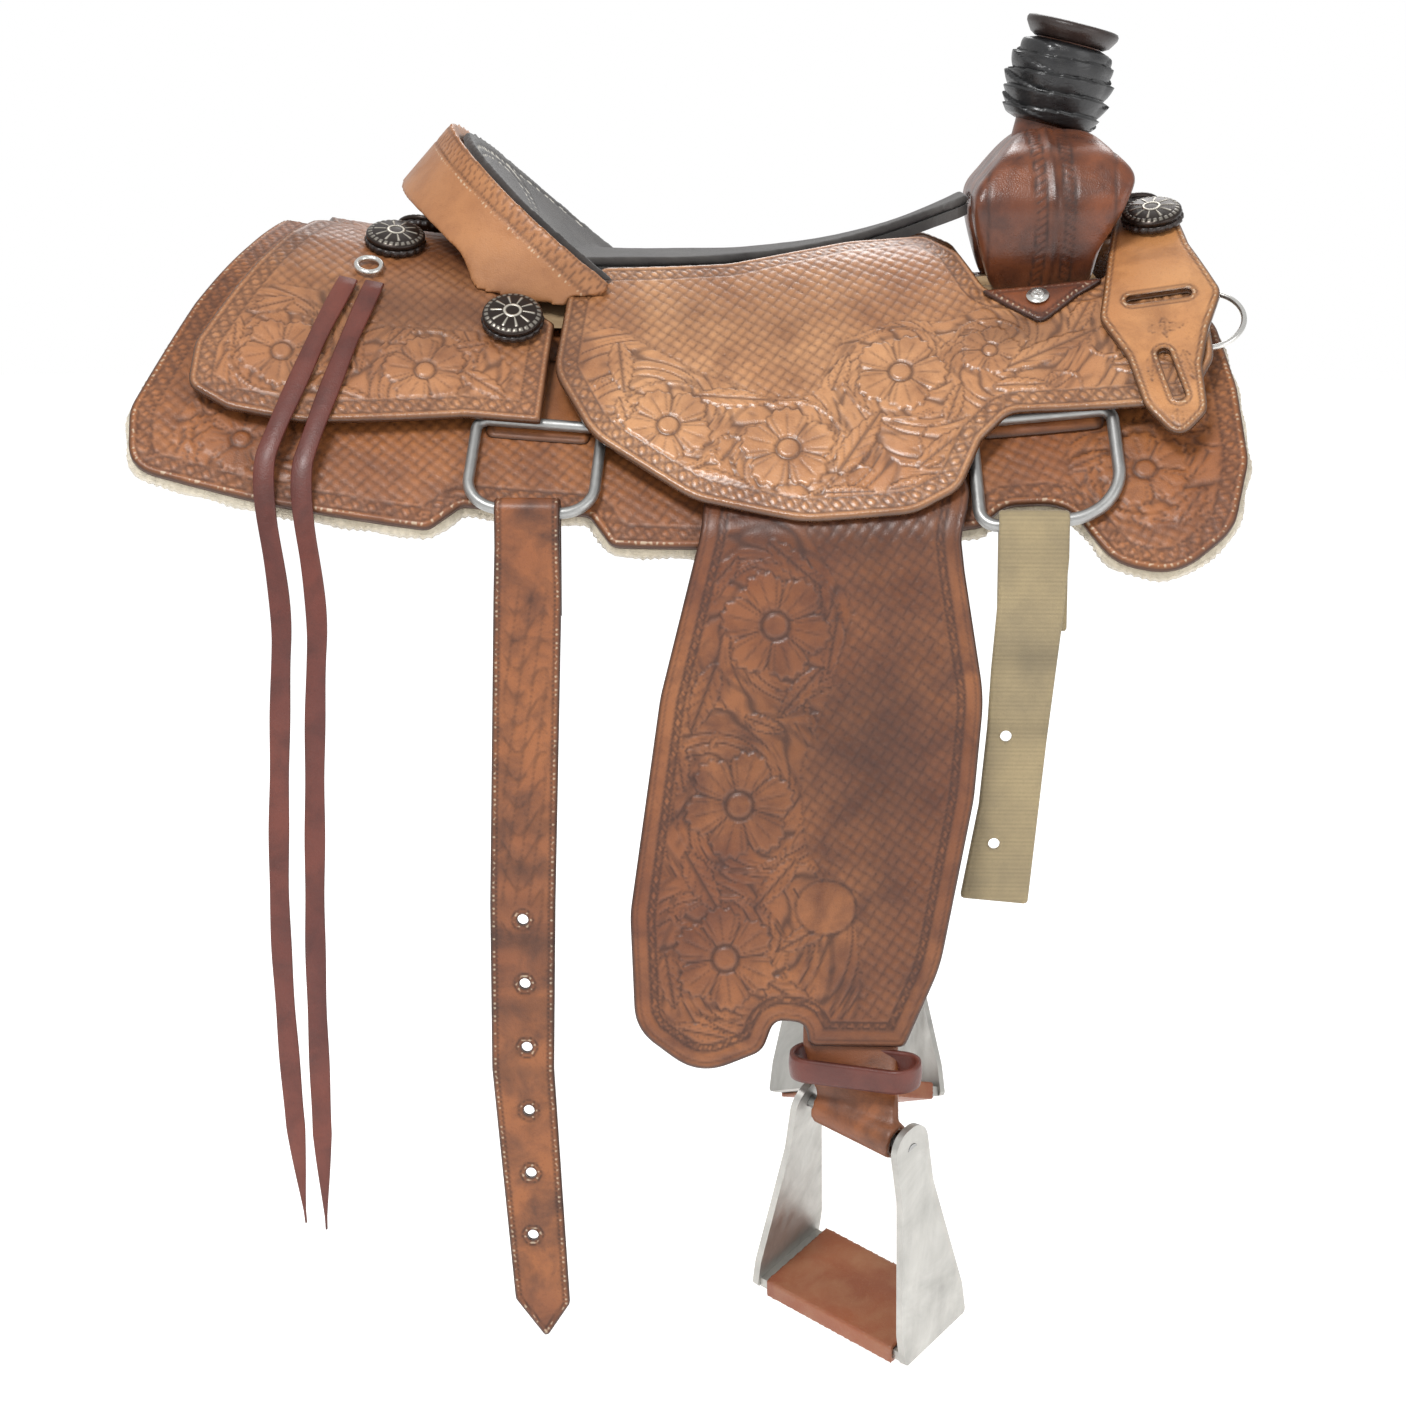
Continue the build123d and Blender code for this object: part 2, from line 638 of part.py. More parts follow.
FLANK_BILLET_WIDTH = 45.0
FLANK_HOLE_PITCH = 46.5
FLANK_HOLE_TOP = -431.0
flank_hang = hang_plane(rear_dee_plane, 0, REAR_DEE_DEPTH, REAR_DEE_WIRE)
flank_face = -flank_hang.origin.Y + REAR_DEE_WIRE / 2 + LOOP_CLEAR
flank_top = flank_hang.origin.Z - 24
flank_outline = [
    (-128, flank_top), (-84, flank_top), (-95, -420), (-97, -540),
    (-87, -715), (-104, -741), (-126, -712), (-141, -540), (-141, -420),
]
flank_holes = [(-118 + count, FLANK_HOLE_TOP - FLANK_HOLE_PITCH * count) for count in range(6)]
with BuildPart() as flank_billet:
    add(strap_loop(flank_hang, REAR_DEE_WIRE, STRAP_THICK, FLANK_BILLET_WIDTH, 80))
    with BuildSketch(Plane.XZ.offset(flank_face)):
        with BuildLine():
            FilletPolyline(*flank_outline, radius=[2, 2, 120, 120, 12, 8, 12, 120, 120], close=True)
        make_face()
        with Locations(*flank_holes):
            Circle(4, mode=Mode.SUBTRACT)
    extrude(amount=STRAP_THICK)
save(flank_billet.part, "flank_billet_right")

# Breast collar ring in front, and the small dee that holds the saddle strings.
RING_WIRE = 4.0
ring_plane = outward_plane(352, 148, 28)


def wire_ring(plane, radius, wire):
    with BuildPart() as ring:
        with BuildLine(plane):
            CenterArc((0, 0), radius, 0, 360)
        start_plane = Plane(
            origin=plane.from_local_coords((radius, 0)), x_dir=plane.x_dir, z_dir=plane.y_dir
        )
        with BuildSketch(start_plane):
            Circle(wire / 2)
        sweep()
    return ring.part


save_pair(wire_ring(ring_plane, 28, RING_WIRE), "breast_ring")
string_dee = wire_ring(outward_plane(-240, 101, 41), 9, RING_WIRE)
save(Compound(children=both(string_dee)), "string_dees")


# Fender: one broad panel hinged at its bend under the jockey, leaning out to the stirrup.
fender_turn = radians(FENDER_LEAN)
fender_plane = Plane(
    origin=(0, FENDER_HINGE_Y, FENDER_HINGE_Z), x_dir=(1, 0, 0),
    z_dir=(0, -cos(fender_turn), sin(fender_turn)),
)
fender_outline = [
    (10, 0), (182, 0), (188, -24), (202, -110), (196, -180), (174, -296), (150, -352), (84, -352),
    (82, -336), (60, -334), (52, -356), (8, -374), (-36, -342), (-40, -262), (-20, -112),
]
fender_radii = [6, 6, 20, 120, 120, 120, 6, 6, 10, 10, 16, 40, 34, 80, 120]
with BuildPart() as fender:
    with BuildSketch(fender_plane.offset(-FENDER_THICK / 2)):
        with BuildLine():
            FilletPolyline(*fender_outline, radius=fender_radii, close=True)
        make_face()
    extrude(amount=FENDER_THICK)
    with BuildSketch(Plane.YZ.offset(16)):
        with Locations((FENDER_HINGE_Y, FENDER_HINGE_Z)):
            Circle(FENDER_THICK / 2)
    extrude(amount=165)
save_pair(fender.part, "fender")

# Fender root: the leather between the rigging and the jockey, up to the tree.
root_pattern = [(30, 160), (165, 160), (180, 284), (16, 284)]
fender_root = cut_leather(root_pattern, 6, even(ROOT_BOTTOM), even(ROOT_BOTTOM + FENDER_THICK), 22)
save_pair(fender_root, "fender_root")

# Stirrup leather: doubled behind the fender, turning to the stirrup bolt below it.
FENDER_FOOT = -352.0
LEATHER_TOP = -32.0
LEATHER_WIDTH = 66.0
LEATHER_THICK = 8.0
LEATHER_X = 113.0
behind_fender = fender_plane.offset(-FENDER_THICK / 2 - 0.4)
bolt_plane = Plane(origin=STIRRUP_AT, x_dir=STIRRUP_AXIS, z_dir=STIRRUP_UP)
middle = Plane(origin=bolt_plane.origin, x_dir=bolt_plane.y_dir, z_dir=STIRRUP_AXIS)
ROLLER_RADIUS = 8.0
turn_top = Plane(
    origin=behind_fender.from_local_coords((LEATHER_X, FENDER_FOOT, -LEATHER_THICK / 2)),
    x_dir=(1, 0, 0), z_dir=fender_plane.y_dir,
)
with BuildPart() as stirrup_leather:
    with BuildSketch(behind_fender):
        with Locations((LEATHER_X, (FENDER_FOOT + LEATHER_TOP) / 2)):
            Rectangle(LEATHER_WIDTH, LEATHER_TOP - FENDER_FOOT)
    extrude(amount=-LEATHER_THICK)
    with BuildSketch(turn_top):
        Rectangle(LEATHER_WIDTH, LEATHER_THICK)
    with BuildSketch(bolt_plane.offset(ROLLER_RADIUS)):
        Rectangle(LEATHER_WIDTH, LEATHER_THICK)
    loft(ruled=True)
    with BuildSketch(middle.offset(-LEATHER_WIDTH / 2)):
        Circle(ROLLER_RADIUS + STRAP_THICK)
    extrude(amount=LEATHER_WIDTH)
    with BuildSketch(middle.offset(-LEATHER_WIDTH)):
        Circle(ROLLER_RADIUS + GAP)
    extrude(amount=2 * LEATHER_WIDTH, mode=Mode.SUBTRACT)
save_pair(stirrup_leather.part, "stirrup_leather")

# Hobble strap round the fender's neck.
hobble_plane = Plane(
    origin=(116, -298, -530), x_dir=Vector(0.93, -0.34, -0.1), z_dir=Vector(0, -0.2, 1)
)
with BuildPart() as hobble_strap:
    with BuildSketch(hobble_plane):
        RectangleRounded(98, 49, 13)
        RectangleRounded(92, 43, 11, mode=Mode.SUBTRACT)
    extrude(amount=18)
save_pair(hobble_strap.part, "hobble_strap")

# Stirrup: two aluminium sides on a bolt and roller, with a leather-wrapped tread.
top_half = 40.0
foot_half = STIRRUP_WIDTH / 2
side_up = (STIRRUP_AXIS * (top_half - foot_half) + STIRRUP_UP * (STIRRUP_HEIGHT + 8)).normalized()
foot_corner = bolt_plane.from_local_coords((foot_half, 0, -STIRRUP_HEIGHT))
side_plane = Plane(origin=foot_corner, x_dir=bolt_plane.y_dir, z_dir=bolt_plane.y_dir.cross(side_up))
side_length = 181.0
side_outline = [
    (-TREAD_DEPTH / 2, 0), (TREAD_DEPTH / 2, 0), (TREAD_DEPTH / 2, 26), (18, 128), (18, side_length),
    (-18, side_length), (-18, 128), (-TREAD_DEPTH / 2, 26),
]
bolt_start = Plane(origin=bolt_plane.origin - STIRRUP_AXIS * 46, z_dir=STIRRUP_AXIS)

with BuildPart() as near_side:
    with BuildSketch(side_plane):
        with BuildLine():
            FilletPolyline(*side_outline, radius=[4, 4, 30, 60, 16, 16, 60, 30], close=True)
        make_face()
    extrude(amount=PLATE_THICK)

with BuildPart() as stirrup:
    add(near_side.part)
    add(mirror(near_side.part, about=middle))
    with BuildSketch(bolt_plane.offset(-STIRRUP_HEIGHT)):
        Rectangle(STIRRUP_WIDTH - 2, TREAD_DEPTH - 6)
    extrude(amount=8)
    with BuildSketch(bolt_start):
        Circle(BOLT_RADIUS + GAP)
    extrude(amount=92, mode=Mode.SUBTRACT)
save_pair(stirrup.part, "stirrup")

with BuildPart() as tread_cover:
    with BuildSketch(bolt_plane.offset(-STIRRUP_HEIGHT - 3.5)):
        Rectangle(STIRRUP_WIDTH - 16, TREAD_DEPTH)
    extrude(amount=15)
    with BuildSketch(bolt_plane.offset(-STIRRUP_HEIGHT - GAP)):
        Rectangle(STIRRUP_WIDTH + 10, TREAD_DEPTH - 6 + 2 * GAP)
    extrude(amount=8 + 2 * GAP, mode=Mode.SUBTRACT)
save_pair(tread_cover.part, "tread_cover")

with BuildPart() as bolt:
    with BuildSketch(bolt_start):
        Circle(BOLT_RADIUS)
    extrude(amount=92)
save_pair(bolt.part, "stirrup_bolt")

# Saddle strings, on the right side only: flat thongs from the small dee, over the jockey and skirt,
# hanging free.
STRING_WIDTH = 14.0
STRING_THICK = 3.0
string_routes = {
    "rear_string": [
        on_flank(-251, 118, 41), on_flank(-259, 160, 39), on_flank(-265, 205, 36),
        on_flank(-272, 248, 33), on_flank(-277, 285, 28.5), Vector(-282, -258, -210),
        Vector(-285, -258, -262), Vector(-287, -257, -320),
        Vector(-289, -258, -378), Vector(-289, -260, -436), Vector(-287, -259, -494), Vector(-284, -258, -552),
        Vector(-280, -259, -606), Vector(-276, -257, -656),
    ],
    "front_string": [
        on_flank(-232, 118, 41), on_flank(-238, 160, 39), on_flank(-243, 205, 36),
        on_flank(-248, 248, 33), on_flank(-252, 285, 28.5), Vector(-257, -259, -210),
        Vector(-260, -260, -262), Vector(-262, -259, -320),
        Vector(-263, -260, -378), Vector(-264, -262, -436), Vector(-264, -261, -494), Vector(-263, -260, -552),
        Vector(-262, -261, -606), Vector(-261, -259, -660),
    ],
}


def bend_radii(route):
    """Arc radius at each inner point: nearly half of the shorter run beside it."""
    radii = []
    for before, point, after in zip(route, route[1:], route[2:]):
        turn = radians((point - before).get_angle(after - point))
        shorter = min((point - before).length, (after - point).length)
        radii.append(0.45 * shorter / (sin(turn / 2) / cos(turn / 2)))
    return radii


for name, route in string_routes.items():
    radii = bend_radii(route)
    with BuildPart() as thong:
        with BuildLine() as course:
            FilletPolyline(*route, radius=radii)
        centreline = course.wire()
        with BuildSketch(Plane(origin=centreline @ 0, x_dir=(1, 0, 0), z_dir=centreline % 0)):
            Rectangle(STRING_WIDTH, STRING_THICK)
        sweep()
    run = centreline.length
    fullness = thong.part.volume / (run * STRING_WIDTH * STRING_THICK)
    print(name, "length", round(run), "radii", [round(radius) for radius in radii])
    print(name, "volume over section times length", round(fullness, 3))
    save(thong.part, f"{name}_right")
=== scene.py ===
"""Looks of the western saddle: tooled leathers, sheepskin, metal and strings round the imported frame."""
import math
import bpy
import numpy as np
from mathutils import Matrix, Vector
from mathutils.geometry import delaunay_2d_cdt


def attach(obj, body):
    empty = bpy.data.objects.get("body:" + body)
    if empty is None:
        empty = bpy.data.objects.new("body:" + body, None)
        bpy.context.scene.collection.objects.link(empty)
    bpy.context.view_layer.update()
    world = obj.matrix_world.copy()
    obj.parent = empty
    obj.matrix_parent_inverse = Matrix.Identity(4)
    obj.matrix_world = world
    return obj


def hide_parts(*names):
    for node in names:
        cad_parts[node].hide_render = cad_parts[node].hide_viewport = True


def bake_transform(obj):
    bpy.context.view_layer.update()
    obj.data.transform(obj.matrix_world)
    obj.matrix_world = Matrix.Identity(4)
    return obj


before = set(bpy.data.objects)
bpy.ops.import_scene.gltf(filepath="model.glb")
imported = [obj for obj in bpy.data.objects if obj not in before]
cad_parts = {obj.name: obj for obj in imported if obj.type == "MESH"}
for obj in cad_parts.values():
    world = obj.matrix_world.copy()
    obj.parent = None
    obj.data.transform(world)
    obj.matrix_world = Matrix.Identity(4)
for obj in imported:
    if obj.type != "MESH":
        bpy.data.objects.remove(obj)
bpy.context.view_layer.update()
scene = bpy.context.scene
MM = 0.001
SIDES = ("right", "left")

# The back that the leathers follow, as in the CAD, in millimetres.
RIDGE, SHOULDER, SKIRT_SLOPE = (math.radians(a) for a in (10, 38, 58))
SHOULDER_DROP, SKIRT_DROP = 130.0, 340.0
UPPER = SHOULDER_DROP / (SHOULDER - RIDGE)
LOWER = (SKIRT_DROP - SHOULDER_DROP) / (SKIRT_SLOPE - SHOULDER)
ROCKER, ROCKER_X = 2000.0, 40.0
REAR_TOP = ((-20, 17), (0, 20), (35, 30), (70, 36.5), (110, 37), (150, 34.5), (220, 31), (300, 27))
SIDE_TOP = ((-20, 43), (0, 44), (35, 45), (70, 45), (110, 43), (150, 41.3), (220, 38.2), (300, 34.5))


def height_of(table, drop):
    """Height off the back at a drop, from a table of (drop, height)."""
    return np.interp(drop, [a for a, b in table], [b for a, b in table])


def flank(station, drop, height):
    """World points in metres of the right side, from station, drop and height in millimetres."""
    slope = np.where(drop <= SHOULDER_DROP, RIDGE + drop / UPPER, SHOULDER + (drop - SHOULDER_DROP) / LOWER)
    knee_out = UPPER * (math.sin(SHOULDER) - math.sin(RIDGE))
    knee_up = -UPPER * (math.cos(RIDGE) - math.cos(SHOULDER))
    out = np.where(
        drop <= SHOULDER_DROP,
        UPPER * (np.sin(slope) - math.sin(RIDGE)),
        knee_out + LOWER * (np.sin(slope) - math.sin(SHOULDER)),
    ) + height * np.sin(slope)
    up = np.where(
        drop <= SHOULDER_DROP,
        -UPPER * (math.cos(RIDGE) - np.cos(slope)),
        knee_up - LOWER * (math.cos(SHOULDER) - np.cos(slope)),
    ) + height * np.cos(slope)
    turn = (station - ROCKER_X) / ROCKER
    radius = ROCKER - up
    x = ROCKER_X + radius * np.sin(turn)
    z = ROCKER - radius * np.cos(turn)
    return np.stack([x, -np.maximum(out, 0.3), z], -1) * MM


# ---------------------------------------------------------------- outlines and panels


def rounded(points, radii, step=2.5):
    """Closed outline with arcs at its corners, as evenly spaced points."""
    if not hasattr(radii, "__len__"):
        radii = [radii] * len(points)
    corners = np.array(points, float)
    path = []
    for i, radius in enumerate(radii):
        here, before, after = corners[i], corners[i - 1], corners[(i + 1) % len(corners)]
        a, b = before - here, after - here
        la, lb = np.linalg.norm(a), np.linalg.norm(b)
        a, b = a / la, b / lb
        half = math.acos(np.clip(a @ b, -1, 1)) / 2
        cut = min(radius / math.tan(half), 0.49 * la, 0.49 * lb)
        start, end = here + a * cut, here + b * cut
        for t in np.linspace(0, 1, 9):
            path.append((1 - t) ** 2 * start + 2 * t * (1 - t) * here + t**2 * end)
    path = np.array(path + path[:1])
    lengths = np.r_[0, np.cumsum(np.linalg.norm(np.diff(path, axis=0), axis=1))]
    count = max(12, int(lengths[-1] / step))
    along = np.linspace(0, lengths[-1], count, endpoint=False)
    return np.stack([np.interp(along, lengths, path[:, k]) for k in (0, 1)], -1)


def circle(cx, cy, radius, count=20):
    angle = np.arange(count) * 2 * math.pi / count
    return np.stack([cx + radius * np.cos(angle), cy + radius * np.sin(angle)], -1)


def near_loop(points, loop):
    """Distance to a closed loop, the length along it there, and whether a point is inside."""
    a, b = loop, np.roll(loop, -1, 0)
    edge = b - a
    length = np.linalg.norm(edge, axis=1)
    start = np.r_[0, np.cumsum(length)[:-1]]
    distance = np.full(len(points), 1e9)
    along = np.zeros(len(points))
    inside = np.zeros(len(points), bool)
    for k in range(len(a)):
        rel = points - a[k]
        t = np.clip(rel @ edge[k] / length[k] ** 2, 0, 1)
        d = np.hypot(*(rel - t[:, None] * edge[k]).T)
        closer = d < distance
        distance[closer] = d[closer]
        along[closer] = start[k] + t[closer] * length[k]
        crosses = (a[k, 1] > points[:, 1]) != (b[k, 1] > points[:, 1])
        span = edge[k, 1] if edge[k, 1] else 1e-9
        inside ^= crosses & (points[:, 0] < a[k, 0] + (points[:, 1] - a[k, 1]) * edge[k, 0] / span)
    return distance, along, inside


def at_ridge(loop, ridge=0.4, reach=60):
    """Outline cut off at the spine line if it runs a little past it, by less than reach."""
    if not -reach <= loop[:, 1].min() <= 0:
        return loop
    cut = np.stack([loop[:, 0], np.maximum(loop[:, 1], ridge)], -1)
    gap = np.linalg.norm(cut - np.roll(cut, 1, 0), axis=1)
    return cut[gap > 0.5]


def grid_in(loops, step):
    """Points of a staggered grid inside the first loop and outside the others."""
    low, high = loops[0].min(0), loops[0].max(0)
    rows = np.arange(low[1], high[1], step * 0.87)
    cols = np.arange(low[0], high[0], step)
    x, y = np.meshgrid(cols, rows)
    x = x + (np.arange(len(rows)) % 2)[:, None] * step / 2
    points = np.stack([x.ravel(), y.ravel()], -1)
    for k, loop in enumerate(loops):
        distance, _, inside = near_loop(points, loop)
        points = points[(inside == (k == 0)) & (distance > 0.65 * step)]
    return points


def triangles(loops, points):
    """Triangles over the loops' points and the given points."""
    verts = np.concatenate([*loops, points])
    edges, first = [], 0
    for loop in loops:
        edges += [(first + i, first + (i + 1) % len(loop)) for i in range(len(loop))]
        first += len(loop)
    result = delaunay_2d_cdt([Vector(v) for v in verts], edges, [], 1, 1e-5)
    source = [o[0] if o else 0 for o in result[3]]
    faces = np.array([[source[i] for i in f] for f in result[2]])
    middle = verts[faces].mean(1)
    for k, loop in enumerate(loops):
        keep = near_loop(middle, loop)[2] == (k == 0)
        faces, middle = faces[keep], middle[keep]
    a, b, c = verts[faces[:, 0]], verts[faces[:, 1]], verts[faces[:, 2]]
    turned = (b - a)[:, 0] * (c - a)[:, 1] - (b - a)[:, 1] * (c - a)[:, 0] < 0
    faces[turned] = faces[turned][:, ::-1]
    return verts, faces


def add_fields(mesh, fields):
    """Named float values on a mesh's points, which the materials read."""
    for key, values in fields.items():
        layer = mesh.attributes.new(key, "FLOAT", "POINT")
        layer.data.foreach_set("value", np.asarray(values, np.float32))


def make_mesh(name, verts, faces, fields=None, mirrored=False):
    """Smooth mesh object from points and faces in metres, with its fields."""
    verts = np.array(verts, float)
    if mirrored:
        verts = verts * (1, -1, 1)
        faces = [tuple(reversed(f)) for f in faces]
    mesh = bpy.data.meshes.new(name)
    mesh.from_pydata(verts.tolist(), [], [tuple(int(i) for i in f) for f in faces])
    add_fields(mesh, fields or {})
    mesh.validate()
    mesh.shade_smooth()
    piece = bpy.data.objects.new(name, mesh)
    scene.collection.objects.link(piece)
    return piece


BACK_STEP = 9.0


def panel(loops, surface, top, thick, relief, step=1.6, edge=2.0, back=None):
    """Leather sheet: a fine carved face over a coarse back, joined by rounded edges.

    surface(x, s, height) maps to the world, top(s) is the face's height, and relief(x, s, distance, along)
    gives the carving in millimetres and the fields of the face. Holes are the loops after the first.
    """
    pattern = loops[0]
    outer = at_ridge(pattern)
    loops = [outer, *loops[1:]]
    verts, faces = triangles(loops, grid_in(loops, step))
    distance, along, _ = near_loop(verts, pattern)
    for hole in loops[1:]:
        distance = np.minimum(distance, near_loop(verts, hole)[0] + 0.8)
    x, s = verts[:, 0], verts[:, 1]
    carving, fields = relief(x, s, distance, along)
    inset = np.clip(1 - distance / edge, 0, 1)
    rounding = edge * (1 - np.sqrt(1 - inset**2)) * 0.9
    face = surface(x, s, top(s) + carving * np.clip(distance / 3, 0, 1) - rounding)
    back_verts, back_faces = triangles(loops, grid_in(loops, BACK_STEP))
    bx, bs = back_verts[:, 0], back_verts[:, 1]
    lower = surface(bx, bs, top(bs) - thick + (back(bx, bs) if back else 0))
    count = len(verts)
    walls, first = [], 0
    for loop in loops:
        for i in range(len(loop)):
            a, b = first + i, first + (i + 1) % len(loop)
            walls.append((a, b, count + b, count + a))
        first += len(loop)
    area = np.sum(outer[:, 0] * np.roll(outer[:, 1], -1) - outer[:, 1] * np.roll(outer[:, 0], -1))
    if area > 0:
        walls = [tuple(reversed(w)) for w in walls]
    a, b, c = face[faces[0]]
    outward_step = surface(x[:1], s[:1], top(s[:1]) + 5)[0] - surface(x[:1], s[:1], top(s[:1]))[0]
    top_faces, low_faces = faces, back_faces[:, ::-1] + count
    if np.cross(b - a, c - a) @ outward_step < 0:
        top_faces, low_faces = faces[:, ::-1], back_faces + count
        walls = [tuple(reversed(w)) for w in walls]
    every = {"rim": np.r_[np.clip(1 - distance / 5, 0, 1), np.ones(len(back_verts))]}
    for key, values in fields.items():
        every[key] = np.r_[values, np.zeros(len(back_verts))]
    return np.concatenate([face, lower]), [*top_faces.tolist(), *walls, *low_faces.tolist()], every


def pair(name, data, material, body, replaced, hinge=None, sides=SIDES):
    """Right and left pieces from one mesh, each on its body, with the CAD nodes they stand for.

    A piece given a hinge, a start and an end on the right side, keeps its placement baked into its mesh and goes on
    no body; only whether a hinge is given is read.
    """
    made = []
    for side in sides:
        piece = make_mesh(f"{name}_{side}", *data, mirrored=side == "left")
        piece.data.materials.append(material)
        if hinge:
            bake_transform(piece)
        else:
            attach(piece, body if body == "saddle" else f"{body}_{side}")
        if replaced:
            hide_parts(*[f"{node}_{side}" for node in replaced])
        made.append(piece)
    return made


# ---------------------------------------------------------------- tooling


def bell(value, width):
    """1 where value is 0, and next to nothing two widths from there."""
    return np.exp(-((value / width) ** 2))


def step_up(value, width=1.0):
    """Smooth 0 to 1 as value goes from -width/2 to width/2."""
    t = np.clip(value / width + 0.5, 0, 1)
    return t * t * (3 - 2 * t)


STITCH_PITCH = 4.6


def stitches(distance, along, place, width=0.8, share=0.3):
    """Row of stitches at a distance from an edge; share sets how much of the pitch is thread."""
    return bell(distance - place, width) * step_up(np.sin(along * 2 * math.pi / STITCH_PITCH) + share, 0.5)


def weave(x, y, cell=7.2, turn=0.6):
    """Basket stamp: height 0 to 1."""
    u = (x * math.cos(turn) + y * math.sin(turn)) / cell
    v = (y * math.cos(turn) - x * math.sin(turn)) / cell
    i, j = np.floor(u), np.floor(v)
    fu, fv = u - i, v - j
    flat = (i + j) % 2 == 0
    across = np.where(flat, fv, fu)
    along = np.where(flat, fu, fv)
    return np.sin(math.pi * across) ** 0.6 * (0.45 + 0.55 * np.sin(math.pi * along) ** 0.5)


def chain_border(distance, along, start=5.0, width=10.0, period=11.0):
    """Border of linked ovals between two lines: (height, dark, mask)."""
    mask = step_up(distance - start) * step_up(start + width - distance)
    mid = (distance - start - width / 2) / (width / 2)
    phase = (along / period) % 1 - 0.5
    tongue = np.hypot(phase * 2.3 + 0.35 * mid, mid * 0.95)
    link = step_up(tongue - 0.42, 0.2) * step_up(0.86 - tongue, 0.2)
    hook = step_up(0.3 - np.abs(np.abs(phase) - 0.5) * 2 - 0.2 * np.abs(mid), 0.3)
    lines = bell(distance - start, 0.9) + bell(distance - start - width, 0.9)
    height = -0.55 * lines - 0.5 * link * mask - 0.35 * hook * mask
    dark = np.clip(lines + (0.8 * link + 0.6 * hook) * mask, 0, 1)
    return height, dark, mask


def flower(x, y, cx, cy, radius, petals=5, spin=0.0):
    """Carved flower: (mask, height, groove)."""
    r = np.hypot(x - cx, y - cy) / radius
    a = np.arctan2(y - cy, x - cx) - spin
    lobe = np.abs(np.cos(petals * a / 2))
    rim = 0.70 + 0.30 * lobe**0.6 + 0.035 * np.cos(petals * 5 * a)
    mask = step_up(rim - r, 0.1)
    cleft = bell(lobe, 0.16) * step_up(r - 0.25, 0.1)
    veins = bell(np.sin(petals * 1.5 * a), 0.28) * step_up(r - 0.3, 0.2) * step_up(0.85 - r, 0.2)
    seed = step_up(0.24 - r, 0.08)
    ring = bell(r - 0.25, 0.045)
    height = mask * (0.25 + 0.55 * r) + 0.5 * seed - 0.8 * ring * mask
    groove = np.clip((cleft + 0.6 * veins + ring) * mask, 0, 1)
    return mask, height - 0.7 * groove, groove


def leaf(x, y, cx, cy, length, width, angle, teeth=6):
    """Carved leaf with a notched edge: (mask, height, groove)."""
    a = math.radians(angle)
    u = ((x - cx) * math.cos(a) + (y - cy) * math.sin(a)) / length + 0.5
    v = ((y - cy) * math.cos(a) - (x - cx) * math.sin(a)) / width * 2
    inside = (u > 0) & (u < 1)
    notched = 0.84 + 0.16 * np.abs(np.sin(teeth * math.pi * u))
    shape = np.sin(math.pi * np.clip(u, 0, 1) ** 0.8) ** 0.75 * notched
    mask = step_up(shape - np.abs(v), 0.22) * inside
    rib = bell(v, 0.13)
    side = bell(np.sin(teeth * math.pi * (u - 0.28 * np.abs(v))), 0.3) * (np.abs(v) > 0.15)
    groove = np.clip(rib + 0.6 * side, 0, 1) * mask
    return mask, mask * (0.35 + 0.4 * np.abs(v)) - 0.7 * groove, groove


def vine(x, y, cx, cy, radius, start, end, width=3.6):
    """Carved stem along an arc from one angle to another, thinning to its end: (mask, height, groove)."""
    r = np.hypot(x - cx, y - cy)
    a = (np.degrees(np.arctan2(y - cy, x - cx)) - start) % 360
    span = (end - start) % 360
    share = np.clip(a / span, 0, 1)
    half = width / 2 * (1.1 - 0.75 * share)
    mask = step_up(half - np.abs(r - radius), 1.0) * (a < span)
    groove = bell(r - radius, 0.5) * mask * 0.6
    return mask, mask * 0.45 - 0.3 * groove, groove


def strands(x, y, centres):
    """Curling leaf strands that fill the ground round the nearest flowers: (height, groove)."""
    far = np.stack([np.hypot(x - cx, y - cy) for cx, cy in centres])
    nearest = np.argmin(far, 0)
    cx = np.array([c[0] for c in centres])[nearest]
    cy = np.array([c[1] for c in centres])[nearest]
    r, a = far.min(0), np.arctan2(y - cy, x - cx)
    phase = a * 7 / math.pi + r * 0.085 + 0.35 * np.sin(r * 0.21 + a * 2) + nearest * 0.5
    lap = phase - np.floor(phase)
    cut = bell(np.minimum(lap, 1 - lap), 0.10)
    vein = bell(lap - 0.5, 0.07) * step_up(np.sin(r * 0.5 + np.floor(phase) * 2.1), 1.2)
    hollow = step_up(0.3 - np.abs(np.sin(r * 0.16 + np.floor(phase) * 1.9)), 0.3) * 0.55
    groove = np.clip(cut + 0.5 * vein + hollow, 0, 1)
    return -0.25 + 0.25 * np.sin(math.pi * lap) - 0.65 * groove, 0.95 * groove


def edge_of(mask):
    """1 half way up a mask's soft edge, and 0 where it is flat."""
    return np.clip(4 * mask * (1 - mask), 0, 1)


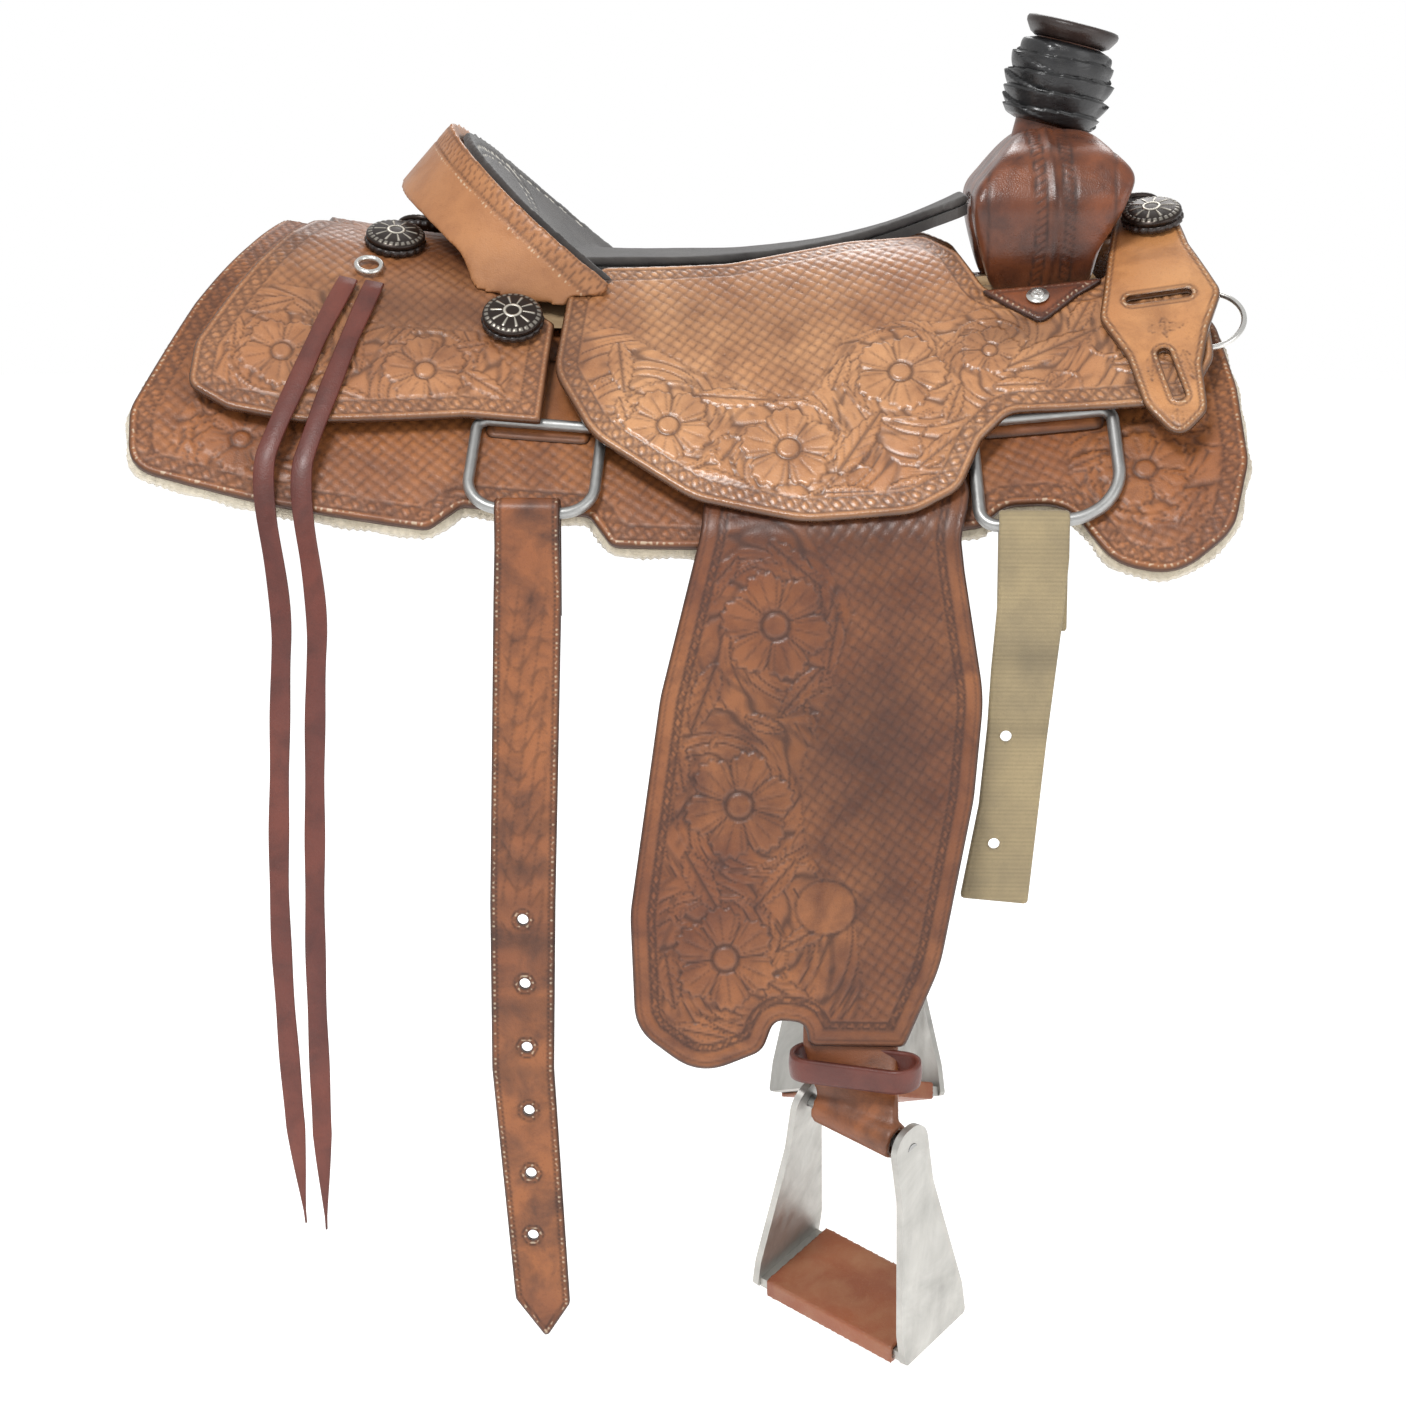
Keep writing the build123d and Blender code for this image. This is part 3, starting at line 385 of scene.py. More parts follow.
def carving(flowers, leaves, vines, field, start=5.0, width=10.0):
    """Relief function of a tooled leather: carved inside the field's outline, basket-stamped outside it."""

    def relief(x, s, distance, along):
        inner = step_up(distance - start - width - 1.5, 1.5)
        gap, run, inside = near_loop(np.stack([x, s], -1), field)
        carved = step_up(np.where(inside, gap, -gap), 1.5) * inner
        beads = bell(gap, 1.6) * inner
        scallop = 0.5 + 0.5 * np.cos(run * 2 * math.pi / 6)
        stamped = (1 - carved) * inner
        woven = weave(x, s)
        height = stamped * 0.75 * (woven - 0.85) - beads * (0.7 - 0.6 * scallop)
        dark = np.maximum(beads * (0.9 - 0.5 * scallop), stamped * (1 - woven) * 0.85)
        relief_height, relief_dark = strands(x, s, [f[:2] for f in flowers])
        for mark, places in ((vine, vines), (leaf, leaves), (flower, flowers)):
            for place in places:
                mask, raised, groove = mark(x, s, *place)
                outline = edge_of(mask)
                relief_height = relief_height * (1 - mask) + mask * (raised + 0.1) - 0.5 * outline
                relief_dark = np.clip(relief_dark * (1 - mask) + mask * groove + 0.7 * outline, 0, 1)
        height = height * (1 - carved) + carved * relief_height
        dark = dark * (1 - carved) + carved * relief_dark
        band, band_dark, mask = chain_border(distance, along, start, width)
        height = height * (1 - mask) + band
        dark = np.maximum(dark * (1 - mask), band_dark)
        stitch = stitches(distance, along, 2.9, share=0.35)
        return height, {"groove": np.clip(dark, 0, 1), "stitch": stitch}

    return relief


def blot(x, y, cx, cy, wide, tall):
    """Soft round stain, 1 at its middle."""
    return bell(x - cx, wide) * bell(y - cy, tall)


def stained(relief, *blots):
    """The same relief with dark handled places."""

    def worn(x, s, distance, along):
        height, fields = relief(x, s, distance, along)
        fields["stain"] = np.clip(sum(share * blot(x, s, *place) for share, *place in blots), 0, 0.9)
        return height, fields

    return worn


def plain(x, s, distance, along):
    """Relief of a smooth strap: one creased line and a row of stitches."""
    crease = bell(distance - 4.2, 0.8)
    return -0.4 * crease, {"groove": crease, "stitch": stitches(distance, along, 2.6, 0.7)}


# ---------------------------------------------------------------- materials


class Nodes:
    """Short way to build a shader tree."""

    def __init__(self, name):
        self.material = bpy.data.materials.new(name)
        self.material.use_nodes = True
        self.tree = self.material.node_tree
        self.shader = self.tree.nodes["Principled BSDF"]
        self.coords = self.add("ShaderNodeTexCoord").outputs["Object"]

    def add(self, kind, **values):
        node = self.tree.nodes.new(kind)
        for key, value in values.items():
            setattr(node, key, value)
        return node

    def link(self, source, target):
        self.tree.links.new(source, target)

    def noise(self, scale, detail=4.0, rough=0.55, stretch=None, distort=0.0):
        node = self.add("ShaderNodeTexNoise")
        node.inputs["Scale"].default_value = scale
        node.inputs["Detail"].default_value = detail
        node.inputs["Roughness"].default_value = rough
        node.inputs["Distortion"].default_value = distort
        source = self.coords
        if stretch:
            mapping = self.add("ShaderNodeMapping")
            mapping.inputs["Scale"].default_value = stretch
            self.link(source, mapping.inputs["Vector"])
            source = mapping.outputs["Vector"]
        self.link(source, node.inputs["Vector"])
        return node.outputs["Fac"]

    def cells(self, scale):
        node = self.add("ShaderNodeTexVoronoi")
        node.inputs["Scale"].default_value = scale
        self.link(self.coords, node.inputs["Vector"])
        return node.outputs["Distance"]

    def attribute(self, name):
        return self.add("ShaderNodeAttribute", attribute_name=name).outputs["Fac"]

    def ramp(self, source, low, high, out_low=0.0, out_high=1.0):
        node = self.add("ShaderNodeMapRange")
        for key, value in (("From Min", low), ("From Max", high), ("To Min", out_low), ("To Max", out_high)):
            node.inputs[key].default_value = value
        self.link(source, node.inputs["Value"])
        return node.outputs["Result"]

    def math(self, operation, a, b):
        node = self.add("ShaderNodeMath", operation=operation)
        for socket, value in zip(node.inputs, (a, b)):
            if isinstance(value, (int, float)):
                socket.default_value = value
            else:
                self.link(value, socket)
        return node.outputs["Value"]

    def mix(self, factor, a, b):
        node = self.add("ShaderNodeMix", data_type="RGBA")
        self.link(factor, node.inputs["Factor"])
        for socket, value in ((node.inputs["A"], a), (node.inputs["B"], b)):
            if isinstance(value, tuple):
                socket.default_value = (*value, 1)
            else:
                self.link(value, socket)
        return node.outputs["Result"]

    def bump(self, height, distance, strength=1.0, below=None):
        node = self.add("ShaderNodeBump")
        node.inputs["Strength"].default_value = strength
        node.inputs["Distance"].default_value = distance
        self.link(height, node.inputs["Height"])
        if below:
            self.link(below, node.inputs["Normal"])
        return node.outputs["Normal"]

    def done(self, colour, roughness, normal, **sockets):
        self.link(colour, self.shader.inputs["Base Color"])
        self.link(roughness, self.shader.inputs["Roughness"])
        if normal:
            self.link(normal, self.shader.inputs["Normal"])
        for key, value in sockets.items():
            self.shader.inputs[key.replace("_", " ")].default_value = value
        return self.material


def leather(name, light, deep, shadow, rough, patina, thread=0.5, coat=0.12):
    """Tooled leather: dyed unevenly, with painted shade in the grooves, dark at its rim, waxed on what stands
    proud.
    """
    n = Nodes(name)
    large = n.ramp(n.noise(9, 3, 0.5), 0.35, 0.68)
    middle = n.ramp(n.noise(38, 5, 0.6, distort=0.4), 0.42, 0.72)
    colour = n.mix(large, light, deep)
    colour = n.mix(n.math("MULTIPLY", middle, patina), colour, shadow)
    specks = n.ramp(n.noise(420, 3, 0.7), 0.56, 0.74, 0.0, 0.28)
    colour = n.mix(specks, colour, shadow)
    mottled = n.math("MULTIPLY", n.attribute("stain"), n.ramp(n.noise(24, 4, 0.6), 0.3, 0.6, 0.55, 1.0))
    colour = n.mix(mottled, colour, tuple(c * 0.6 for c in shadow))
    # Painted shade: the groove field darkens cuts, stamps and creases towards the shadow colour.
    groove = n.attribute("groove")
    colour = n.mix(n.math("MULTIPLY", groove, 0.8), colour, tuple(c * 0.42 for c in shadow))
    rim = n.ramp(n.attribute("rim"), 0.35, 0.95, 0.0, 0.88)
    colour = n.mix(rim, colour, tuple(c * 0.25 for c in shadow))
    if thread:
        colour = n.mix(n.ramp(n.attribute("stitch"), 0.4, 0.8, 0.0, thread), colour, (0.66, 0.56, 0.40))
    polish = n.ramp(n.noise(60, 4), 0.3, 0.7, rough - 0.08, rough + 0.12)
    polish = n.math("ADD", polish, n.math("MULTIPLY", groove, 0.2))
    grain = n.bump(n.cells(900), 0.0003, 0.35)
    normal = n.bump(n.noise(150, 6, 0.65), 0.0008, 0.35, grain)
    return n.done(colour, polish, normal, Coat_Weight=coat, Coat_Roughness=0.25, Specular_IOR_Level=0.45)


def metal(name, colour, rough, scuff=0.25, grain=500.0):
    """Worn metal: stained in patches, scratched along its height."""
    n = Nodes(name)
    stain = n.ramp(n.noise(22, 6, 0.65, distort=0.6), 0.38, 0.75, 0.0, scuff * 2)
    tint = n.mix(stain, colour, tuple(c * 0.5 for c in colour))
    scratches = n.noise(90, 6, 0.7, stretch=(1, 1, 0.12))
    roughness = n.ramp(scratches, 0.3, 0.7, rough - 0.08, rough + 0.16)
    normal = n.bump(n.noise(grain, 3, 0.6), 0.0002, 0.35, n.bump(scratches, 0.0003, 0.4))
    return n.done(tint, roughness, normal, Metallic=0.9)


def fibre(name, light, dark, scale, depth, sheen=0.4, rough=0.92):
    """Suede, wool or nylon: fine fibres with soft shading and sheen."""
    n = Nodes(name)
    colour = n.mix(n.ramp(n.noise(scale / 30, 4, 0.6), 0.35, 0.7), light, dark)
    colour = n.mix(n.ramp(n.noise(scale, 3, 0.7), 0.5, 0.8, 0.0, 0.5), colour, dark)
    # Painted shade: the groove field darkens the suede's seams, the nylon's rib troughs and among the wool's tufts;
    # on the nylon it also holds real smudges.
    colour = n.mix(n.math("MULTIPLY", n.attribute("groove"), 0.75), colour, tuple(c * 0.35 for c in dark))
    colour = n.mix(n.ramp(n.attribute("stitch"), 0.3, 0.7, 0.0, 0.9), colour, (0.62, 0.58, 0.50))
    normal = n.bump(n.noise(scale, 4, 0.7), depth, 0.6)
    return n.done(colour, n.ramp(n.noise(scale / 10), 0.3, 0.7, rough - 0.06, rough), normal, Sheen_Weight=sheen)


# Each leather's light and deep dye, its shadow in grooves, then its roughness, patina, thread and coat.
TAN = leather(
    "tan_tooled", (0.54, 0.268, 0.120), (0.39, 0.162, 0.062), (0.15, 0.050, 0.019), 0.25, 0.55, 0.12, 0.45,
)
BACK_TAN = leather(
    "back_tan", (0.44, 0.200, 0.086), (0.31, 0.120, 0.046), (0.15, 0.052, 0.022), 0.32, 0.6, 0.15,
)
RUSSET = leather("russet", (0.36, 0.130, 0.038), (0.26, 0.085, 0.025), (0.12, 0.038, 0.015), 0.42, 0.7)
FENDER_HIDE = leather(
    "fender_hide", (0.30, 0.112, 0.040), (0.19, 0.062, 0.024), (0.080, 0.026, 0.015), 0.36, 0.8,
)
FORK_HIDE = leather("fork_hide", (0.25, 0.076, 0.026), (0.14, 0.038, 0.016), (0.055, 0.018, 0.011), 0.30, 0.9)
ROLL = leather("cantle_roll", (0.43, 0.195, 0.080), (0.34, 0.140, 0.052), (0.20, 0.072, 0.028), 0.36, 0.4)
BILLET_HIDE = leather(
    "billet_hide", (0.29, 0.098, 0.030), (0.18, 0.055, 0.020), (0.060, 0.020, 0.010), 0.42, 0.9,
)
LATIGO = leather("latigo", (0.150, 0.036, 0.022), (0.095, 0.020, 0.014), (0.040, 0.010, 0.008), 0.44, 0.6, 0)
DARK_HIDE = leather(
    "dark_hide", (0.026, 0.015, 0.012), (0.018, 0.010, 0.008), (0.010, 0.006, 0.005), 0.32, 0.5, 0,
)
TREAD_HIDE = leather(
    "tread_hide", (0.30, 0.088, 0.034), (0.20, 0.060, 0.028), (0.34, 0.17, 0.085), 0.46, 0.5, 0,
)
CARRIER_HIDE = leather(
    "carrier_hide", (0.55, 0.265, 0.105), (0.42, 0.172, 0.060), (0.15, 0.052, 0.020), 0.30, 0.5, 0.5, 0.3,
)
ALUMINIUM = metal("cast_aluminium", (0.52, 0.51, 0.48), 0.42, 0.3, 300)
STEEL = metal("dull_steel", (0.40, 0.40, 0.39), 0.38, 0.3)
CHROME = metal("bright_steel", (0.66, 0.65, 0.62), 0.22, 0.15)
SUEDE = fibre("suede", (0.055, 0.049, 0.045), (0.030, 0.027, 0.026), 900, 0.0006, 0.25)
WOOL = fibre("wool", (0.78, 0.70, 0.55), (0.50, 0.42, 0.30), 320, 0.004, 0.6)
NYLON = fibre("nylon", (0.36, 0.28, 0.15), (0.24, 0.19, 0.11), 700, 0.0005, 0.2, 0.75)


def timber():
    """Pale grained wood of the tree."""
    n = Nodes("timber")
    rings = n.noise(30, 4, 0.6, stretch=(0.3, 1, 1), distort=1.0)
    colour = n.mix(n.ramp(rings, 0.35, 0.65), (0.42, 0.30, 0.17), (0.30, 0.19, 0.10))
    return n.done(colour, n.ramp(rings, 0.3, 0.7, 0.45, 0.6), n.bump(rings, 0.0006, 0.4))


def rubber():
    """Black rubber, dusty and wrinkled."""
    n = Nodes("rubber")
    dust = n.ramp(n.noise(70, 5, 0.6), 0.5, 0.8, 0.0, 0.25)
    colour = n.mix(dust, (0.012, 0.012, 0.013), (0.07, 0.065, 0.06))
    # Painted shade: the groove field turns the lap lines between the wrap's turns near black.
    colour = n.mix(n.attribute("groove"), colour, (0.002, 0.002, 0.002))
    wrinkles = n.noise(55, 5, 0.6, stretch=(1, 1, 3), distort=0.5)
    return n.done(colour, n.ramp(wrinkles, 0.3, 0.7, 0.22, 0.42), n.bump(wrinkles, 0.0018, 0.5), Coat_Weight=0.15)


TIMBER, RUBBER = timber(), rubber()
SHOWN_SINGLE = {
    "tree_cantle": TIMBER, "tree_fork": TIMBER, "tree_horn": FORK_HIDE, "ground_seat": SUEDE, "string_dees": CHROME,
}
SHOWN_PAIRS = {
    "tree_bar": TIMBER, "stirrup": ALUMINIUM, "stirrup_bolt": STEEL, "front_dee": STEEL, "rear_dee": STEEL,
    "breast_ring": CHROME,
}
shown = SHOWN_SINGLE | {f"{node}_{side}": look for node, look in SHOWN_PAIRS.items() for side in SIDES}
for node, look in shown.items():
    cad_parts[node].data.materials.clear()
    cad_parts[node].data.materials.append(look)

# ---------------------------------------------------------------- flank leathers

SKIRT = rounded(
    [(-320, -25), (-337, 60), (-356, 140), (-373, 245), (-362, 290), (-270, 298), (-165, 301), (-146, 280),
     (-63, 280), (-47, 303), (92, 300), (188, 290), (204, 275), (243, 277), (268, 326), (306, 340), (345, 312),
     (362, 262), (365, 200), (361, 140), (342, 92), (170, 84), (60, 56), (-110, 50), (-160, -25)],
    [4, 60, 60, 40, 26, 60, 10, 8, 8, 10, 40, 10, 20, 30, 40, 36, 40, 40, 60, 40, 20, 40, 40, 20, 4],
)
skirt_flowers = [(-296, 252, 27, 5, 0.3), (296, 258, 30, 5, 0.8), (330, 208, 22, 5, 0.1)]
skirt_leaves = [(-262, 270, 34, 13, 10), (-330, 222, 34, 13, 70), (262, 246, 34, 14, -20), (322, 290, 34, 14, -50)]
skirt_vines = [(-296, 252, 34, 150, 20), (296, 258, 37, 60, 300), (330, 208, 28, -30, 190)]
rear_corner = carving(skirt_flowers, skirt_leaves, skirt_vines, circle(-292, 250, 48, 40))
front_corner = carving(skirt_flowers, skirt_leaves, skirt_vines, circle(306, 246, 58, 40))


def skirt_carving(x, s, distance, along):
    """The rear corner's and the front corner's carving, each on its own half."""
    rear, rear_fields = rear_corner(x, s, distance, along)
    front, front_fields = front_corner(x, s, distance, along)
    ahead = x > 0
    fields = {key: np.where(ahead, front_fields[key], rear_fields[key]) for key in rear_fields}
    return np.where(ahead, front, rear), fields


def level(height):
    """The same height at every drop."""
    return lambda s: np.full_like(s, height)


def above(table, lift=0.0):
    """A height table raised by a lift."""
    return lambda s: height_of(table, s) + lift


def flank_leather(name, loops, top, thick, relief, material, **fineness):
    """Leather on each side's flank, in place of the CAD leather of its name."""
    pair(name, panel(loops, flank, top, thick, relief, **fineness), material, "saddle", [name])


SKIRT_TOP, SKIRT_THICK = 15.0, 5.0
flank_leather("skirt", [SKIRT], level(SKIRT_TOP), SKIRT_THICK, skirt_carving, RUSSET, step=2.0)


def wool_back(x, s):
    """Pile on the fleece's underside."""
    return -1.2 * np.abs(np.sin(x * 0.9 + 2 * np.sin(s * 0.31)) * np.sin(s * 0.8 + 2 * np.sin(x * 0.27)))


def wool_face(x, s, distance, along):
    """Tufts on the fleece's edge where it shows past the skirt."""
    shade = 0.3 * step_up(np.sin(x * 1.1 + 3 * np.sin(s * 0.4)), 1)
    return 0.5 * np.sin(x * 1.7) * np.sin(s * 1.9), {"groove": shade}


def grown(loop, amount, wave, period=5.0):
    """Loop moved out by an amount, with a wavy edge."""
    before, after = np.roll(loop, 1, 0), np.roll(loop, -1, 0)
    tangent = (after - before) / np.linalg.norm(after - before, axis=1)[:, None]
    area = np.sum(loop[:, 0] * after[:, 1] - loop[:, 1] * after[:, 0])
    normal = np.stack([tangent[:, 1], -tangent[:, 0]], -1) * (1 if area > 0 else -1)
    place = np.arange(len(loop))
    tufts = wave * np.sin(place * 2 * math.pi / period) * np.sin(place * 1.7)
    return loop + normal * (amount + tufts)[:, None]


FLEECE_TOP, FLEECE_THICK = 9.8, 9.4
flank_leather(
    "fleece", [grown(SKIRT, 2.0, 1.4)], level(FLEECE_TOP), FLEECE_THICK, wool_face, WOOL,
    step=6, edge=4, back=wool_back,
)

REAR = rounded(
    [(-283, -25), (-303, 60), (-328, 137), (-342, 190), (-338, 226), (-308, 238), (-258, 239), (-150, 218),
     (-101, 218), (-101, 132), (-122, 118), (-164, 60), (-172, -25)],
    [4, 40, 60, 24, 14, 18, 40, 40, 2, 4, 20, 30, 4],
)
rear_field = rounded(
    [(-340, 150), (-300, 128), (-262, 128), (-222, 152), (-150, 146), (-122, 182), (-140, 232), (-340, 240)], 18,
)
rear_relief = carving(
    [(-283, 186, 29, 5, 0.2), (-184, 185, 29, 5, 0.6)],
    [(-236, 174, 46, 16, 70), (-142, 192, 40, 15, 30), (-232, 214, 44, 14, 10), (-300, 148, 36, 14, 150),
     (-206, 154, 30, 12, 120), (-318, 176, 30, 12, 80), (-160, 162, 34, 12, 160)],
    [(-283, 186, 35, 20, 310), (-184, 185, 35, 200, 120), (-234, 196, 16, 90, 330), (-143, 205, 12, 0, 250)],
    rear_field,
)
rear_worn = stained(rear_relief, (0.9, -170, 70, 50, 34), (0.7, -190, 135, 70, 26), (0.6, -300, 60, 30, 60))
REAR_THICK = 4.5
flank_leather("back_jockey", [REAR], above(REAR_TOP), REAR_THICK, rear_worn, BACK_TAN)

SIDE = rounded(
    [(-72, 80), (-94, 110), (-96, 180), (-66, 230), (4, 276), (75, 292), (146, 288), (176, 272), (192, 236),
     (212, 216), (330, 224), (352, 190), (356, 120), (336, 76), (306, 78), (286, 112), (206, 112), (188, 64),
     (164, 34), (108, 38), (20, 70)],
    [10, 20, 40, 60, 60, 80, 40, 24, 14, 16, 14, 24, 30, 12, 12, 20, 20, 16, 16, 60, 60],
)
side_field = rounded(
    [(-84, 150), (-58, 138), (-38, 152), (2, 176), (50, 198), (84, 196), (100, 150), (140, 132), (176, 136),
     (216, 118), (262, 104), (360, 90), (366, 240), (200, 224), (196, 300), (-20, 300), (-100, 220)], 14,
)
side_relief = carving(
    [(-15, 221, 30, 5, 0.4), (65, 238, 32, 5, 0.9), (141, 178, 32, 5, 0.1), (203, 164, 21, 5, 1.3)],
    [(-50, 174, 44, 18, 80), (30, 198, 56, 16, 4), (112, 234, 58, 20, -58), (244, 168, 70, 19, -22),
     (168, 240, 50, 16, -40), (270, 138, 40, 15, -60), (100, 176, 34, 13, -70), (20, 262, 46, 14, 14),
     (150, 268, 44, 14, -10), (176, 206, 34, 13, -70), (304, 190, 44, 15, 8), (-44, 214, 30, 12, 70),
     (-6, 256, 30, 11, 30), (104, 272, 34, 11, 0), (300, 146, 40, 14, -30), (222, 196, 40, 13, 4)],
    [(-15, 221, 36, 40, 320), (65, 238, 38, 250, 170), (141, 178, 39, 60, 330), (203, 164, 27, 200, 60),
     (28, 240, 12, 120, 400), (166, 236, 14, 0, 250), (250, 200, 12, 180, 430), (284, 166, 13, 30, 280),
     (112, 262, 10, 90, 340), (-56, 196, 12, 200, 460)],
    side_field,
)
side_worn = stained(side_relief, (0.5, -90, 170, 16, 80), (0.6, 225, 150, 40, 16), (0.3, 40, 120, 90, 30))
# Thinner than the CAD's side jockey, so that its underside clears the front dee at the end of its swing.
SIDE_THICK = 4.2
flank_leather("seat_jockey", [SIDE], above(SIDE_TOP), SIDE_THICK, side_worn, TAN, step=1.4, edge=2.4)

FRONT_RIG = rounded([(188, 150), (278, 150), (274, 222), (192, 222)], 6)
REAR_RIG = rounded([(-140, 150), (-66, 150), (-68, 224), (-138, 224)], 6)
FRONT_RIG_TOP, FRONT_RIG_THICK = 19.0, 3.7
REAR_RIG_TOP, REAR_RIG_THICK = 16.2, 0.9
flank_leather("front_rigging", [FRONT_RIG], level(FRONT_RIG_TOP), FRONT_RIG_THICK, plain, RUSSET, step=4)
flank_leather("rear_rigging", [REAR_RIG], level(REAR_RIG_TOP), REAR_RIG_THICK, plain, RUSSET, step=4, edge=0.4)

# Fender: one leather from under the jockey, over the hinge, down to the stirrup.
HINGE_Y, HINGE_Z = -253.0, -158.0
HINGE_DROP, HINGE_LIFT = 288.0, 22.4
LEAN = math.radians(7.5)
FENDER_THICK = 4.5


def fender_surface(x, v, height):
    """v runs down from the hinge; above it the leather follows the flank up under the jockey."""
    y = HINGE_Y - v * math.sin(LEAN) - height * math.cos(LEAN)
    z = HINGE_Z - v * math.cos(LEAN) + height * math.sin(LEAN)
    under = flank(x, HINGE_DROP + v, height + HINGE_LIFT)
    share = step_up(-v - 10, 30)[:, None]
    return np.stack([x, y, z], -1) * MM * (1 - share) + under * share


FENDER = rounded(
    [(30, -120), (165, -120), (184, -10), (188, 24), (202, 110), (196, 180), (174, 296), (150, 352), (84, 352),
     (82, 336), (60, 334), (52, 356), (8, 374), (-36, 342), (-40, 262), (-20, 112), (8, -4)],
    [6, 6, 30, 20, 120, 120, 120, 6, 6, 10, 10, 16, 40, 34, 80, 120, 40],
)
fender_field = rounded(
    [(-60, -10), (74, -10), (112, 50), (96, 108), (76, 160), (80, 214), (116, 268), (120, 330), (84, 352),
     (40, 380), (-60, 380)], 24,
)
fender_core = carving(
    [(59, 62, 38, 6, 0.2), (35, 186, 38, 6, 0.8), (26, 292, 36, 6, 0.4)],
    [(10, 112, 52, 20, 110), (96, 140, 44, 17, 60), (98, 76, 40, 16, 100), (10, 240, 50, 20, 60),
     (72, 318, 60, 18, 30), (72, 20, 50, 17, 40), (100, 200, 40, 14, 80), (-12, 308, 40, 16, 80),
     (20, 30, 40, 15, 130), (76, 108, 46, 16, 130), (60, 240, 46, 16, 130), (10, 344, 44, 14, 10),
     (-6, 160, 36, 14, 80), (80, 276, 44, 15, 150), (52, 130, 30, 12, 20), (0, 70, 34, 12, 100)],
    [(59, 62, 45, 200, 90), (35, 186, 45, 0, 250), (26, 292, 43, 220, 120), (94, 118, 13, 90, 340),
     (4, 136, 14, 0, 240), (78, 242, 15, 200, 80), (0, 258, 12, 90, 330), (64, 344, 11, 0, 250)],
    fender_field, start=12.0, width=5.0,
)


def fender_relief(x, v, distance, along):
    """The fender's carving, with a creased line outside it and a blank oval."""
    height, fields = fender_core(x, v, distance, along)
    outer = bell(distance - 4.5, 0.8)
    rim = np.abs(np.hypot((x - 95) / 21, (v - 256) / 19) - 1) * 20
    blank = step_up(1 - np.hypot((x - 95) / 20, (v - 256) / 18), 0.08)
    line = bell(rim, 1.2)
    height = height * (1 - blank) - 0.5 * outer - 0.5 * line
    groove = np.clip(fields["groove"] * (1 - blank) + 0.6 * outer + 0.7 * line, 0, 1)
    worn = 0.6 * blot(x, v, 140, 150, 60, 190) + 0.35 * blot(x, v, 70, 150, 60, 60)
    worn += 0.5 * blot(x, v, 100, 0, 120, 20)
    return height, {"groove": groove, "stain": np.clip(worn, 0, 0.7)}


hinge_ends = [(0.097, -0.2436, -0.138), (0.097, -0.2560, -0.182)]
fender = panel([FENDER], fender_surface, level(FENDER_THICK / 2), FENDER_THICK, fender_relief)
pair("fender", fender, FENDER_HIDE, "fender", ["fender", "fender_root"], hinge=hinge_ends)

# Carrier for the breast collar, with its two slots.
CARRIER = rounded(
    [(306, 44), (348, 44), (352, 92), (366, 140), (352, 170), (342, 200), (340, 236), (318, 256), (300, 226),
     (294, 186), (280, 150), (290, 110)],
    [10, 10, 24, 16, 24, 24, 14, 12, 24, 24, 16, 24], step=2.0,
)


def slot_loop(cx, cy, length, width, turn):
    """Outline of a long hole with round ends."""
    half, a = (length - width) / 2, math.radians(turn)
    ends = [circle(s * half, 0, width / 2, 16) for s in (1, -1)]
    loop = np.concatenate([ends[0][12:], ends[0][:5], ends[1][4:13]])
    return np.stack([cx + loop[:, 0] * math.cos(a) - loop[:, 1] * math.sin(a),
                     cy + loop[:, 0] * math.sin(a) + loop[:, 1] * math.cos(a)], -1)


CARRIER_LEAVES = [
    (323, 166, 26, 9, 0, 3), (323, 166, 18, 7, 90, 2), (310, 196, 26, 8, 100, 4), (334, 200, 26, 8, 80, 4),
    (320, 240, 14, 8, 90, 2),
]


def carrier_relief(x, s, distance, along):
    """A stitched edge, with a few small leaves round the slots."""
    height, fields = plain(x, s, distance, along)
    for place in CARRIER_LEAVES:
        mask, raised, groove = leaf(x, s, *place)
        ring = edge_of(mask)
        height = height + 0.4 * mask * raised - 0.5 * ring
        fields["groove"] = np.clip(fields["groove"] + groove * 0.7 + ring * 0.8, 0, 1)
    return height, fields


CARRIER_LIFT, CARRIER_THICK = 5.7, 4.5
carrier_loops = [CARRIER, slot_loop(323, 138, 46, 8, 0), slot_loop(321, 205, 44, 9, 82)]
flank_leather(
    "carrier", carrier_loops, above(SIDE_TOP, CARRIER_LIFT), CARRIER_THICK, carrier_relief, CARRIER_HIDE,
    step=1.5, edge=1.6,
)

# ---------------------------------------------------------------- billets


def path_surface(path):
    """Surface of a strap along a path of (y, z) points: s runs along it and height stands out from it."""
    path = np.array(path, float)
    run = np.r_[0, np.cumsum(np.linalg.norm(np.diff(path, axis=0), axis=1))]
    tangent = np.gradient(path, axis=0)
    tangent /= np.linalg.norm(tangent, axis=1)[:, None]
    normal = np.stack([tangent[:, 1], -tangent[:, 0]], -1)

    def surface(x, s, height):
        y = np.interp(s, run, path[:, 0]) + height * np.interp(s, run, normal[:, 0])
        z = np.interp(s, run, path[:, 1]) + height * np.interp(s, run, normal[:, 1])
        return np.stack([x, y, z], -1) * MM

    return surface, run


def loop_path(y, z, radius, tail, end):
    """Path up behind a bow at (y, z), over it, and down in front to a height."""
    over = [(y + radius * math.cos(a), z + radius * math.sin(a)) for a in np.linspace(0, math.pi, 15)]
    back = [(y + radius, z - tail * t) for t in np.linspace(1, 0, 9)[:-1]]
    front = [(y - radius, z + (end - z) * t) for t in np.linspace(0, 1, 60)[1:]]
    return back + over + front


BOW_RADIUS, BACK_TAIL, HOLE_RADIUS = 6.85, 76, 4


